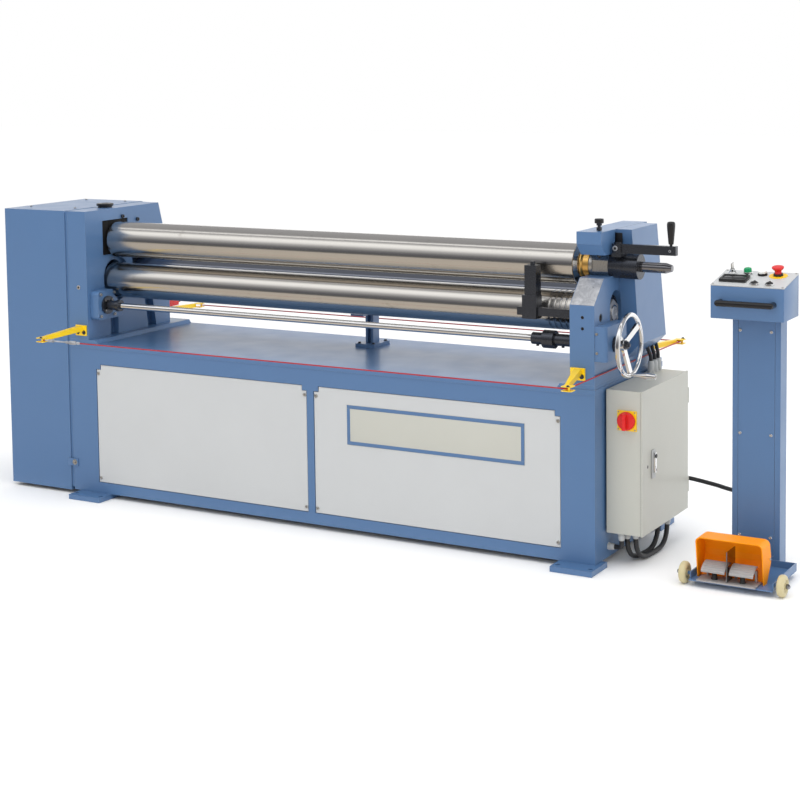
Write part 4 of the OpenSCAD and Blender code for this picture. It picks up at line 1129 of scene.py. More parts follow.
@dataclass
class CabinetTrim:
    """Covers, louvres, cap, oil sight and screws on the gear cabinet and the left frame, and black painted
    shade in the frame's pocket.
    """

    left_x: float = -1538.0
    right_x: float = -1209.0
    back_y: float = 526.0
    cover_z: Pair = (120.0, 1100.0)
    screw_z: Triple = (136.0, 610.0, 1084.0)
    screw_d: float = 12.0
    cap: Triple = (-1161.0, 209.0, FRAME_TOP)
    top_spots: tuple[Pair, ...] = ((-1251, 120), (-1275, 486), (-1496, 120), (-1496, 486))
    cover_y: Pair = (60.0, 466.0)
    cover_inset: float = 30.0
    sight: Triple = (-1141.0, 0.0, 884.0)
    # X span of the black sheets that paint the shade in the left frame's pocket.
    pocket_shade_x: Pair = (-1106.0, -1101.0)

    def build(self, fitter: Fitter) -> None:
        """Fits every piece on the cabinet and the left frame."""
        self._cap(fitter)
        self._top_screws(fitter)
        self._side_cover(fitter)
        self._back_cover(fitter)
        self._frame_fasteners(fitter)

    def _cap(self, fitter: Fitter) -> None:
        """Sets the round black cap on the left frame's top."""
        profile = [
            (0, 30), (6, 30), (7, 35), (9, 36.5), (15, 36.5), (17, 34.5), (17.6, 30), (17.6, 16), (16.4, 15)
        ]
        fitter.fit(Bench.turned("frame_cap", self.cap, Axis.UP.vector, profile, 28), "black_plastic")

    def _top_screws(self, fitter: Fitter) -> None:
        """Sets the screws in the cabinet's top."""
        spots = [(x, y, FRAME_TOP) for x, y in self.top_spots]
        fitter.fasten(Bench.pan_screw, "cabinet_top_screws", self.screw_d, Axis.UP.vector, spots)

    def _side_cover(self, fitter: Fitter) -> None:
        """Screws a cover with louvres on the cabinet's left side."""
        x, (low_y, high_y), (low_z, high_z) = self.left_x, self.cover_y, self.cover_z
        cover = Bench.block("cabinet_side_cover", (x - 2, low_y, low_z), (x + 0.5, high_y, high_z), 0.8)
        fitter.fit(cover, "blue_paint")
        louvre = Bench.outline(
            "cabinet_louvres", [(x - 2, 150, 240), (x - 8, 150, 240), (x - 8, 150, 244), (x - 2, 150, 262)],
            Vector((0, 226, 0)), 1.0
        )
        fitter.fit(Bench.row(louvre, (0, 0, 38), 7), "blue_paint")
        spots = [(x - 2, y, z) for y in (low_y + 16, high_y - 16) for z in self.screw_z]
        fitter.fasten(Bench.pan_screw, "side_cover_screws", self.screw_d, Axis.LEFT.vector, spots)

    def _back_cover(self, fitter: Fitter) -> None:
        """Screws a plain cover on the cabinet's back."""
        y, (low_z, high_z) = self.back_y, self.cover_z
        x0, x1 = self.left_x + self.cover_inset, self.right_x - self.cover_inset
        fitter.fit(
            Bench.block("cabinet_back_cover", (x0, y - 0.5, low_z), (x1, y + 2, high_z), 0.8), "blue_paint"
        )
        spots = [(x, y + 2, z) for x in (x0 + 14, x1 - 14) for z in self.screw_z]
        fitter.fasten(Bench.pan_screw, "back_cover_screws", self.screw_d, Axis.BACK.vector, spots)

    def _frame_fasteners(self, fitter: Fitter) -> None:
        """Sets the oil sight, black sheets of painted shade on the pocket's walls and the cap screws of the
        left frame.
        """
        ring = [(0, 9), (2, 9), (3, 8), (3, 5.4), (1.5, 5)]
        fitter.fit(Bench.turned("frame_sight_ring", self.sight, Axis.FRONT.vector, ring), "chrome")
        eye = [(0, 4.9), (1.9, 4.9), (2.3, 4)]
        fitter.fit(Bench.turned("frame_sight_eye", self.sight, Axis.FRONT.vector, eye), "black_plastic")
        # Black sheets on the pocket's four walls: painted shade for a recess that light hardly reaches.
        sides = (
            (111, 150, 1010, 1154), (240, 279, 1010, 1154), (149, 241, 1116, 1154), (149, 241, 1010, 1026)
        )
        x0, x1 = self.pocket_shade_x
        shade_fill = [Bench.block("pocket_liner", (x0, y0, z0), (x1, y1, z1), 0.8) for y0, y1, z0, z1 in sides]
        fitter.fit(Bench.join("pocket_liner", shade_fill), "dull_black")
        spots = [(-FRAME_IN, 242, 1164), (-FRAME_IN, 343, 1143)]
        fitter.fasten(Bench.cap_screw, "frame_cap_screws", 16, Axis.RIGHT.vector, spots, "black_steel")


@dataclass
class RightFrameTrim:
    """The ground ramp, plugs, bearing cap and housing seam of the right frame, and black pieces of painted
    shade in the housing's opening and the pocket.
    """

    ramp_x: Pair = (1099, 1190)
    ramp_low: Pair = (0, 947)
    ramp_high: Pair = (90, 1036)
    # A black plate on the housing's front beside the pocket: painted shade of the dark opening there.
    window: Corners = ((1192.6, 195.0, 1140.0), (1217.0, 197.0, 1190.0))
    seam: Corners = ((1191.2, 197.0, 1202.4), (1192.4, 440.0, 1203.3))
    # Box of the black dish of painted shade in the pocket on the frame's end.
    pocket: Corners = ((1160.0, 188.5, 1141.5), (1174.0, 239.5, 1190.5))
    cap_x: float = 1175.5
    front_plugs: tuple[Triple, ...] = ((1146, 3, 906), (1146, 3, 866))
    side_plug: Triple = (1185, 56, 900)

    def build(self, fitter: Fitter) -> None:
        """Fits every piece on the right frame."""
        self._ramp(fitter)
        self._plugs(fitter)
        # Black plate of painted shade in the housing's opening.
        fitter.fit(Bench.block("housing_window", *self.window, 0.6), "black_plastic")
        fitter.fit(Bench.block("housing_seam", *self.seam, 0.2), "black_plastic")
        self._bearing_cap(fitter)
        # A black dish in the pocket: painted shade.
        shade_fill = Bench.block("pocket_lining", *self.pocket, 1.5)
        Bench.sink(shade_fill, Axis.RIGHT.vector, 4, 6)
        fitter.fit(shade_fill, "dull_black")

    def _ramp(self, fitter: Fitter) -> None:
        """Lays the ground steel face on the ramp under the upper roll's end."""
        (x0, x1), (y0, z0), (y1, z1) = self.ramp_x, self.ramp_low, self.ramp_high
        along = Vector((0, y1 - y0, z1 - z0)).normalized()
        out = Vector((0, -along.z, along.y))
        start, end = Vector((x0, y0, z0)) + along * 3, Vector((x1, y1, z1)) - along * 2
        corners = [(x, spot.y, spot.z) for x, spot in ((x0, start), (x1, start), (x1, end), (x0, end))]
        fitter.fit(Bench.outline("ramp_face", corners, out * 1.4, 0.5), "ground_steel")

    def _bearing_cap(self, fitter: Fitter) -> None:
        """Sets the bright six-sided cap and the nut on the lower roll's bearing."""
        at, right = (self.cap_x, ROLL_Y, LOWER_Z), Axis.RIGHT.vector
        cap = Bench.turned("bearing_cap", at, right, [(0, 51), (6, 51), (8, 48.5), (8, 31), (5, 30)], 6)
        nut = Bench.turned(
            "bearing_nut", at, right, [(4, 25), (12, 25), (13.4, 23), (13.4, 15), (11, 14)], 40
        )
        fitter.fit(Bench.join("bearing_cap", [cap, nut]), "ground_steel", "lower_carrier")

    def _plugs(self, fitter: Fitter) -> None:
        """Plugs the small bores."""
        profile = [(0, 5.9), (2.4, 5.9), (3.2, 5), (3.2, 3), (1, 2.6)]
        plug = Bench.turned("front_plugs", self.front_plugs[0], Axis.FRONT.vector, profile, 24)
        fitter.fit(Bench.scatter(plug, self.front_plugs), "black_plastic")
        profile = [(0, 14.8), (4, 14.8), (5.2, 13.6), (5.2, 9), (2.4, 8.4)]
        fitter.fit(Bench.turned("side_plug", self.side_plug, Axis.RIGHT.vector, profile, 32), "black_plastic")


@dataclass
class DriveTrim:
    """Screws of the adjusting drive, and the handwheel's nut and grip button."""

    housing_x: float = -1055.0
    flange_x: float = -1047.0
    hub_x: float = 1277.0
    housing_ys: Pair = (34, 122)
    housing_zs: Pair = (762, 854)
    cover_spots: tuple[Triple, ...] = ((1199, 2, 850), (1200, 2, 782))
    coupling_xs: Pair = (1036, 936)
    coupling_r: float = 21.5
    flange_r: float = 29.0
    grip_x: float = 1384.5
    grip_r: float = 108.0
    grip_turn: float = 276.0

    def build(self, fitter: Fitter) -> None:
        """Fits every piece on the adjusting drive."""
        right = Axis.RIGHT.vector
        spots: list[Point] = [(self.housing_x, y, z) for y in self.housing_ys for z in self.housing_zs]
        fitter.fasten(Bench.cap_screw, "worm_housing_screws", 13, right, spots)
        spots = [(self.flange_x, *self.around(self.flange_r, 45 + 90 * step)) for step in range(4)]
        fitter.fasten(Bench.cap_screw, "flange_screws", 8, right, spots)
        fitter.fasten(Bench.pan_screw, "worm_cover_screws", 10, Axis.FRONT.vector, self.cover_spots)
        self._wheel(fitter)

    @staticmethod
    def around(radius: float, degrees: float) -> Pair:
        """Gives Y and Z of a point round the adjusting shaft."""
        turn = math.radians(degrees)
        return SHAFT_Y + radius * math.cos(turn), SHAFT_Z + radius * math.sin(turn)

    def _wheel(self, fitter: Fitter) -> None:
        """Sets the wheel's end nut, its grip's button and the coupling's screws."""
        hub, right = (self.hub_x, SHAFT_Y, SHAFT_Z), Axis.RIGHT.vector
        washer = Bench.turned("wheel_washer", hub, right, [(0, 17), (2.5, 17), (3, 16)])
        profile = [(2.6, 13.5), (11, 13.5), (12.6, 11.5), (12.6, 8), (17, 7), (18, 4)]
        nut = Bench.turned("wheel_nut", hub, right, profile, 6)
        fitter.fit(Bench.join("wheel_nut", [nut, washer]), "black_steel", "handwheel")
        grip = (self.grip_x, *self.around(self.grip_r, self.grip_turn))
        button = [(0, 6), (1.6, 6), (2.6, 4.6), (2.6, 2)]
        fitter.fit(Bench.turned("grip_button", grip, right, button, 24), "machined_steel", "handwheel")
        spots = [(x, SHAFT_Y, SHAFT_Z - self.coupling_r) for x in self.coupling_xs]
        fitter.fasten(
            Bench.cap_screw, "coupling_screws", 11, Axis.DOWN.vector, spots, "black_steel", "handwheel"
        )


@dataclass
class ReleaseTrim:
    """The bush's flare, the lever's fasteners and handle, and the locking knob's crown."""

    bush_x: float = 1067.0
    bolt: Triple = (1216.0, 132.0, 1141.0)
    set_screw: Triple = (1419.0, 139.0, 1139.0)
    handle: Triple = (1419.0, 150.0, 1156.0)
    knob: Triple = (1164.0, 110.0, 1231.0)

    def build(self, fitter: Fitter) -> None:
        """Fits every piece at the release end."""
        flare = [(0, 44.4), (0, 50), (3, 52), (7, 52), (12, 46), (12, 44.4)]
        fitter.fit(
            Bench.lathe("bush_flare", (self.bush_x, ROLL_Y, UPPER_Z), Axis.RIGHT.vector, flare, 64), "bronze"
        )
        self._lever(fitter)
        crown = [(0, 14.6), (1.6, 16.6), (13, 16.6), (15.6, 14.6), (16.4, 11), (16.4, 6), (15.4, 5)]
        knob = Bench.turned("knob_crown", self.knob, Axis.UP.vector, crown, 20)
        fitter.fit(knob, "black_plastic", "locking_knob")

    def _lever(self, fitter: Fitter) -> None:
        """Sets the lever's bolt and set screw, black hexagons of painted shade in their sockets, and the
        turned handle.
        """
        front = Axis.FRONT.vector
        button = [(0, 9.5), (3, 9.5), (4.4, 8), (4.4, 5.6), (2.2, 5.3)]
        bolts = [
            Bench.turned("lever_bolts", self.bolt, front, button, 36),
            Bench.cap_screw("lever_set_screw", self.set_screw, front, 9),
        ]
        fitter.fit(Bench.join("lever_bolts", bolts), "ground_steel", "release_lever")
        (x0, y0, z0), (x1, y1, z1) = self.bolt, self.set_screw
        # Black hexagons in the sockets of the bolt and the set screw: painted shade.
        large, small = [(0, 5.2), (2, 5.2), (2.6, 4.6)], [(0, 2.6), (2.6, 2.6), (3, 2.2)]
        sockets = [
            Bench.turned("lever_sockets", (x0, y0 - 1.5, z0), front, large, 6),
            Bench.turned("lever_set_socket", (x1, y1 - 1, z1), front, small, 6),
        ]
        fitter.fit(Bench.join("lever_sockets", sockets), "black_plastic", "release_lever")
        grip = [
            (0, 5), (6, 5), (6, 8.2), (8, 9.2), (14, 9.8), (60, 14), (74, 14.8), (80, 14.4), (84, 12.6),
            (86, 8), (86.4, 3),
        ]
        handle = Bench.turned("lever_grip", self.handle, Axis.UP.vector, grip, 36)
        fitter.fit(handle, "black_plastic", "release_lever")
        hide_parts("lever_handle")


@dataclass
class TripTrim:
    """Bolts, wire ends and switch details of the trip wire."""

    wire_z: float = 700.0
    front_y: float = -249.0
    frame_depth: float = 560.0
    bracket_t: float = 6.0
    front_xs: tuple[float, ...] = (-1147, -1115, 1113, 1145)
    rear_xs: tuple[float, ...] = (-1147, -1115, 1143, 1175)
    fork_xs: Pair = (-1127, 1205)
    fork_ys: Pair = (-258, 845)
    end_x: float = -1112.0
    lid: Corners = ((-1161, 572, 752), (-1117, 650, 761))
    boot: Triple = (-1139, 656, 742)

    def build(self, fitter: Fitter) -> None:
        """Fits every piece of the trip wire."""
        self._bolts(fitter)
        self._wire_end(fitter)
        self._switch(fitter)

    def _bolts(self, fitter: Fitter) -> None:
        """Bolts the brackets on and pins their forks."""
        z = self.wire_z - 4
        front = [(x, -self.bracket_t, z) for x in self.front_xs]
        rear = [(x, self.frame_depth + self.bracket_t, z) for x in self.rear_xs]
        forks = [(x, y, self.wire_z + 9) for x in self.fork_xs for y in self.fork_ys]
        for name, across, axis, spots in (
            ("front_bracket_bolts", 10, Axis.FRONT, front), ("rear_bracket_bolts", 10, Axis.BACK, rear),
            ("fork_bolts", 8, Axis.UP, forks),
        ):
            fitter.fasten(Bench.hex_bolt, name, across, axis.vector, spots, "black_steel")

    def _wire_end(self, fitter: Fitter) -> None:
        """Puts the bare end, its sleeves and its turnbuckle on the wire."""
        at = (self.end_x, self.front_y, self.wire_z)
        bare = [
            (0, 3.2), (18, 3.2), (18, 6.2), (44, 6.2), (44, 3.2), (108, 3.2), (110, 6), (118, 6), (120, 4),
            (126, 4), (128, 7.6), (134, 8.2), (152, 8.2), (158, 7.6), (160, 4), (166, 4), (168, 6), (176, 6),
            (182, 2.6),
        ]
        fitter.fit(Bench.turned("wire_end", at, Axis.RIGHT.vector, bare, 20), "ground_steel")

    def _switch(self, fitter: Fitter) -> None:
        """Dresses the trip switch with a lid, screws and a boot."""
        fitter.fit(Bench.block("trip_switch_lid", *self.lid, 2.0), "red_plastic")
        (x0, y0, _), (x1, y1, top) = self.lid
        spots = [(x, y, top) for x in (x0 + 8, x1 - 8) for y in (y0 + 7, y1 - 7)]
        fitter.fasten(Bench.pan_screw, "trip_switch_screws", 6, Axis.UP.vector, spots)
        profile = [(0, 9.4), (0, 13), (6, 13), (9, 11), (12, 12.4), (15, 10.6), (18, 11.8), (22, 9.4)]
        fitter.fit(Bench.lathe("trip_switch_boot", self.boot, Axis.BACK.vector, profile, 32), "black_plastic")


@dataclass
class BoxTrim:
    """Latch, switch knob, glands, hoses, seal and switchgear of the electrical box."""

    door_x: float = 1337.0
    latch: Pair = (184, 364)
    switch: Pair = (1280, 534)
    front_y: float = 86.0
    lamp: Pair = (137, 362)
    inside_x: float = 1207.0
    seal_y: Pair = (84.4, 500.0)
    seal_z: Pair = (120.6, 639.4)
    top_ys: Triple = (523.0, 487.0, 451.0)

    def build(self, fitter: Fitter) -> None:
        """Fits every piece on the electrical box."""
        self._latch(fitter)
        self._switch(fitter)
        self._glands(fitter)
        self._hoses(fitter)
        profile = [(-1, 6), (0.1, 6), (0.25, 5.6), (0.25, 2.6), (0.15, 2)]
        dot = Bench.turned("door_lamp", (self.door_x, *self.lamp), Axis.RIGHT.vector, profile, 24)
        fitter.fit(dot, "black_plastic", "box_door")
        self._seal(fitter)
        self._back_plate(fitter)
        self._switchgear(fitter)

    def _seal(self, fitter: Fitter) -> None:
        """Lays the rubber seal in the joint between the box and its door."""
        x0, x1 = self.door_x - 6.9, self.door_x - 6.1
        (low_y, high_y), (low_z, high_z) = self.seal_y, self.seal_z
        strips = [
            Bench.block("door_seal", (x0, low_y, low_z), (x1, low_y + 10, high_z), 0.2),
            Bench.block("door_seal", (x0, low_y + 9, low_z), (x1, high_y, low_z + 10), 0.2),
            Bench.block("door_seal", (x0, low_y + 9, high_z - 10), (x1, high_y, high_z), 0.2),
        ]
        fitter.fit(Bench.join("door_seal", strips), "cable_rubber")

    def _back_plate(self, fitter: Fitter) -> None:
        """Mounts the plate inside the box with its ducts and rails."""
        x = self.inside_x
        fitter.fit(Bench.block("mounting_plate", (x, 112, 150), (x + 2.5, 518, 612), 0.8), "pale_panel")
        duct = Bench.block("wire_ducts", (x + 2.5, 122, 372), (x + 42, 508, 402), 1.0)
        Bench.sink(duct, Axis.RIGHT.vector, 2.5, 1.2)
        fitter.fit(Bench.copies(duct, [(0, 0, 160), (0, 0, -180)]), "grey_plastic")
        rail = Bench.block("mounting_rails", (x + 2.5, 130, 452), (x + 10, 500, 487), 0.6)
        Bench.sink(rail, Axis.RIGHT.vector, 5, 5)
        fitter.fit(Bench.copies(rail, [(0, 0, -180)]), "machined_steel")

    def _switchgear(self, fitter: Fitter) -> None:
        """Clips contactors, breakers and terminals on the rails and hangs the main switch's body."""
        x = self.inside_x + 10
        unit = Bench.block("contactors", (x, 140, 430), (x + 74, 184, 510), 2.0)
        Bench.sink(unit, Axis.RIGHT.vector, 9, 4)
        body = Bench.block("main_switch_body", (1256, 92, 512), (1304, 134, 558), 3.0)
        units = Bench.row(unit, (0, 47, 0), 4)
        fitter.fit(Bench.join("contactors", [units, body]), "black_plastic")
        unit = Bench.block("breakers", (x, 340, 428), (x + 60, 357, 512), 1.5)
        fitter.fit(Bench.row(unit, (0, 18, 0), 7), "white_plastic")
        toggle = Bench.block("breaker_toggles", (x + 59, 344.5, 466), (x + 68, 352.5, 478), 1.2)
        fitter.fit(Bench.row(toggle, (0, 18, 0), 7), "black_plastic")
        unit = Bench.block("terminals", (x, 140, 262), (x + 42, 147.4, 318), 0.8)
        fitter.fit(Bench.row(unit, (0, 8, 0), 42), "grey_plastic")

    def _latch(self, fitter: Fitter) -> None:
        """Makes the latch: a backing plate, a swing handle, a lock and the pin behind."""
        y, z = self.latch
        x = self.door_x + 0.4
        plate = Bench.block("latch_plate", (x, y - 17, z - 52), (x + 5.6, y + 17, z + 52), 4.0)
        pin = Bench.turned(
            "latch_pin", (self.door_x - 6, y, z), Axis.RIGHT.vector, [(0, 6), (7, 6), (7.4, 5.6)], 24
        )
        fitter.fit(Bench.join("latch_plate", [plate, pin]), "grey_plastic", "door_latch")
        handle = Bench.outline("latch_handle", [
            (x + 4, y - 9, z - 32), (x + 4, y + 9, z - 32), (x + 4, y + 9, z + 44), (x + 4, y - 9, z + 44),
        ], Vector((9.6, 0, 0)), 4.0)
        fitter.fit(handle, "chrome", "door_latch")
        profile = [(0, 8), (2.4, 8), (3.4, 7), (3.4, 2.4), (1.4, 2.2)]
        lock = Bench.turned("latch_lock", (x + 12, y, z + 30), Axis.RIGHT.vector, profile, 28)
        fitter.fit(lock, "black_plastic", "door_latch")
        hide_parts("door_latch")

    def _switch(self, fitter: Fitter) -> None:
        """Makes the main switch's knob and screws its plate on."""
        x, z = self.switch
        y = self.front_y - 6
        spots = [(x + dx, y, z + dz) for dx in (-31, 31) for dz in (-31, 31)]
        fitter.fasten(Bench.pan_screw, "switch_plate_screws", 6, Axis.FRONT.vector, spots)
        profile = [(0.6, 32), (2, 33), (11, 33), (15, 30.5), (16, 27), (16, 20)]
        disc = Bench.turned("switch_knob", (x, y, z), Axis.FRONT.vector, profile, 56)
        stem = Bench.turned("switch_stem", (x, y, z), Axis.BACK.vector, [(-0.8, 6), (4.4, 6), (4.8, 5.6)], 24)
        grip = Bench.outline("switch_grip", [
            (x - 8, y - 12, z - 30), (x + 8, y - 12, z - 30), (x + 6, y - 12, z + 30),
            (x - 6, y - 12, z + 30),
        ], Vector((0, -22, 0)), 3.5)
        knob = Bench.join("switch_knob", [disc, stem, grip])
        fitter.fit(knob, "red_plastic", "main_switch")
        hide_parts("main_switch_knob")

    @staticmethod
    def _gland(name: str, at: Point, along: Axis, length: float) -> Object:
        """Makes a cable gland: a hexagon foot, a ribbed nut and a taper."""
        foot = Bench.turned(name, at, along.vector, [(0, 14.4), (6, 14.4), (7, 13.4)], 6)
        nut = Bench.turned(name + "_nut", at, along.vector, [
            (6.5, 11.4), (8, 11.4), (9, 12.8), (length * 0.66, 12.8), (length * 0.8, 11.8),
            (length * 0.93, 10.6), (length, 9.6),
        ], 14)
        return Bench.join(name, [foot, nut])

    def _glands(self, fitter: Fitter) -> None:
        """Sets the glands of the hoses and cables."""
        spots: list[Point] = [
            (HALF_L + 66, 138, 120), (HALF_L + 98, 356, 120), (HALF_L + 94, 150, 120),
            (HALF_L + 122, 388, 120), (HALF_L + 58, 104, 120),
        ]
        below = Bench.scatter(self._gland("box_glands", spots[0], Axis.DOWN, 28), spots)
        tops: list[Point] = [(1226, y, 640) for y in self.top_ys]
        above = Bench.scatter(self._gland("top_glands", tops[0], Axis.UP, 46), tops)
        hose = self._gland("hose_gland", (HALF_L, 122, 60), Axis.RIGHT, 24)
        link = self._gland("link_gland", (HALF_L, 605, 220), Axis.RIGHT, 26)
        stand = self._gland("stand_gland", (HALF_L + 460, 335, 236), Axis.BACK, 28)
        glands = fitter.fit(Bench.join("cable_entries", [below, above, hose, link, stand]), "grey_plastic")
        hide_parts("cable_glands")

    def _hoses(self, fitter: Fitter) -> None:
        """Runs the short stiff hoses."""
        x0 = HALF_L
        hoses = [Bench.hose("box_hoses", [
            (x0 + 20, 122, 60), (x0 + 30, 122, 60), (x0 + 44, 120, 62), (x0 + 54, 112, 70),
            (x0 + 58, 105, 82), (x0 + 58, 104, 87), (x0 + 58, 104, 96),
        ], 9.0)]
        for step, y in enumerate(self.top_ys):
            hoses.append(Bench.hose(f"top_hose_{step}", [
                (1226, y, 682), (1226, y, 692), (1224, y + 3 - 2 * step, 706), (1218, y + 8 - 5 * step, 722),
                (1212, y + 12 - 8 * step, 740),
            ], 7.0))
        piece = fitter.fit(Bench.join("box_hoses", hoses), "cable_rubber")
        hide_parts("box_conduits")


@dataclass
class PanelTrim:
    """The control box and the controls on its slanted panel."""

    front_y: float = 155.0
    back_y: float = 325.0
    low_z: float = 910.0
    front_z: float = 1025.0
    back_z: float = 1058.0
    half_w: float = 131.0
    plate_t: float = 3.0
    key: Pair = (-94, 133)
    green: Pair = (-39, 134)
    white: Pair = (14, 133)
    selectors: tuple[Pair, ...] = ((19, 23), (72, 24))
    stop: Pair = (71, 130)

    @property
    def along(self) -> Vector:
        """Direction up the panel's slope."""
        return Vector((0, self.back_y - self.front_y, self.back_z - self.front_z)).normalized()

    @property
    def out(self) -> Vector:
        """Direction that the panel faces."""
        return Vector((0, -self.along.z, self.along.y))

    def on(self, x: float, depth: float, lift: float = 0.0) -> Triple:
        """Gives the place of a point over the panel's plate."""
        corner = Vector((STAND_X + x, self.front_y, self.front_z))
        spot = corner + self.along * depth + self.out * (self.plate_t + lift)
        return spot.x, spot.y, spot.z

    def plate(self, name: str, low: Point, high: Point, lift: float, thick: float, rounding: float) -> Object:
        """Makes a flat piece that lies on the panel.

        Args:
            name: The piece's name.
            low: Its lower left corner, across and up the panel.
            high: Its upper right corner.
            lift: Height of its underside over the panel, in millimetres.
            thick: Its thickness.
            rounding: Width of the edge rounding.

        Returns:
            The finished piece.
        """
        (x0, d0), (x1, d1) = low, high
        corners = [self.on(x, depth, lift) for x, depth in ((x0, d0), (x1, d0), (x1, d1), (x0, d1))]
        return Bench.outline(name, corners, self.out * thick, rounding)

    def knob(self, name: str, x: float, depth: float, profile: Profile, sides: int = 40) -> Object:
        """Makes a turned piece that stands on the panel."""
        return Bench.turned(name, self.on(x, depth), self.out, profile, sides)

    def build(self, fitter: Fitter) -> None:
        """Makes the box and every control."""
        left, right = STAND_X - self.half_w, Vector((2 * self.half_w, 0, 0))
        corners = [
            (left, self.front_y, self.low_z), (left, self.back_y, self.low_z),
            (left, self.back_y, self.back_z), (left, self.front_y, self.front_z),
        ]
        box = Bench.outline("control_case", corners, right, 3.0)
        fitter.fit(box, "blue_paint")
        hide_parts("control_box")
        spots = [self.on(x, depth) for x in (-124, 124) for depth in (7, 166)]
        fitter.fasten(Bench.pan_screw, "panel_corner_screws", 7, self.out, spots)
        self._display(fitter)
        self._key(fitter)
        self._buttons(fitter)
        self._selectors(fitter)
        self._stop(fitter)

    def _display(self, fitter: Fitter) -> None:
        """Makes the display's frame and its dark window."""
        frame = self.plate("display_frame", (-113, 35), (-17, 95), 0, 11, 2.0)
        Bench.sink(frame, self.out, 5, 2.4)
        fitter.fit(frame, "black_plastic")
        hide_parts("panel_controls")
        fitter.fit(self.plate("display_window", (-103, 45), (-27, 85), 8.2, 1.6, 0.5), "dark_window")

    def _key(self, fitter: Fitter) -> None:
        """Makes the key switch and its key."""
        x, depth = self.key
        ring = self.knob("key_ring", x, depth, [(0, 15), (5, 15), (8, 13), (8, 10), (6, 9.6)])
        barrel = self.knob("key_barrel", x, depth, [(5, 9), (16, 9), (18, 7.6), (18, 3)])
        fitter.fit(Bench.join("key_switch", [ring, barrel]), "chrome")
        bow = self.plate("key_bow", (x - 1.6, depth - 12), (x + 1.6, depth + 12), 17, 22, 1.2)
        fitter.fit(bow, "machined_steel")

    def _buttons(self, fitter: Fitter) -> None:
        """Makes the green and the white button."""
        for name, finish, spot, profile in (
            ("button_rings", "chrome", self.green, [(0, 16), (7, 16), (10, 14.6), (10, 13.6)]),
            ("white_button_ring", "black_plastic", self.white, [(0, 17), (5, 17), (8, 15.6), (8, 14.8)]),
            (
                "green_button", "green_plastic", self.green,
                [(6, 14), (18, 14), (21.6, 12.6), (23, 10), (23.2, 5)]
            ),
            ("white_button", "white_plastic", self.white, [(6, 14.6), (14, 14.6), (16.6, 12.8), (17.4, 9)]),
        ):
            fitter.fit(self.knob(name, *spot, profile), finish)

    def _selectors(self, fitter: Fitter) -> None:
        """Makes the two selector switches."""
        profile = [(0, 16), (5, 16), (8, 14.4), (8, 12.6), (6.6, 12.2)]
        rings = [self.knob("selector_rings", x, depth, profile) for x, depth in self.selectors]
        fitter.fit(Bench.join("selector_rings", rings), "chrome")
        caps = []
        for x, depth in self.selectors:
            caps.append(self.knob("selector_caps", x, depth, [(6, 12), (9.4, 12), (10.4, 11)]))
            caps.append(
                self.plate("selector_grip", (x - 3.5, depth - 11), (x + 3.5, depth + 11), 9, 4.5, 1.4)
            )
        fitter.fit(Bench.join("selector_caps", caps), "black_plastic")

    def _stop(self, fitter: Fitter) -> None:
        """Makes the emergency stop with its disc and collar."""
        at = self.on(*self.stop)
        profile = [(0, 13), (0, 32), (1.4, 32), (2, 31.2), (2, 13)]
        fitter.fit(Bench.lathe("stop_disc", at, self.out, profile, 64), "yellow_plastic")
        profile = [(1.8, 12.5), (1.8, 17), (8, 17), (10, 15.4), (10, 12.5)]
        fitter.fit(Bench.lathe("stop_collar", at, self.out, profile, 48), "black_plastic")
        cap = Bench.turned("stop_button", at, self.out, [
            (8, 12), (20, 12), (21, 13), (24, 16.4), (28, 20), (31, 21.2), (33, 21), (34.6, 19.4), (35, 16),
            (35, 8),
        ], 52)
        fitter.fit(cap, "red_plastic", "emergency_stop")
        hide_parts("emergency_stop")


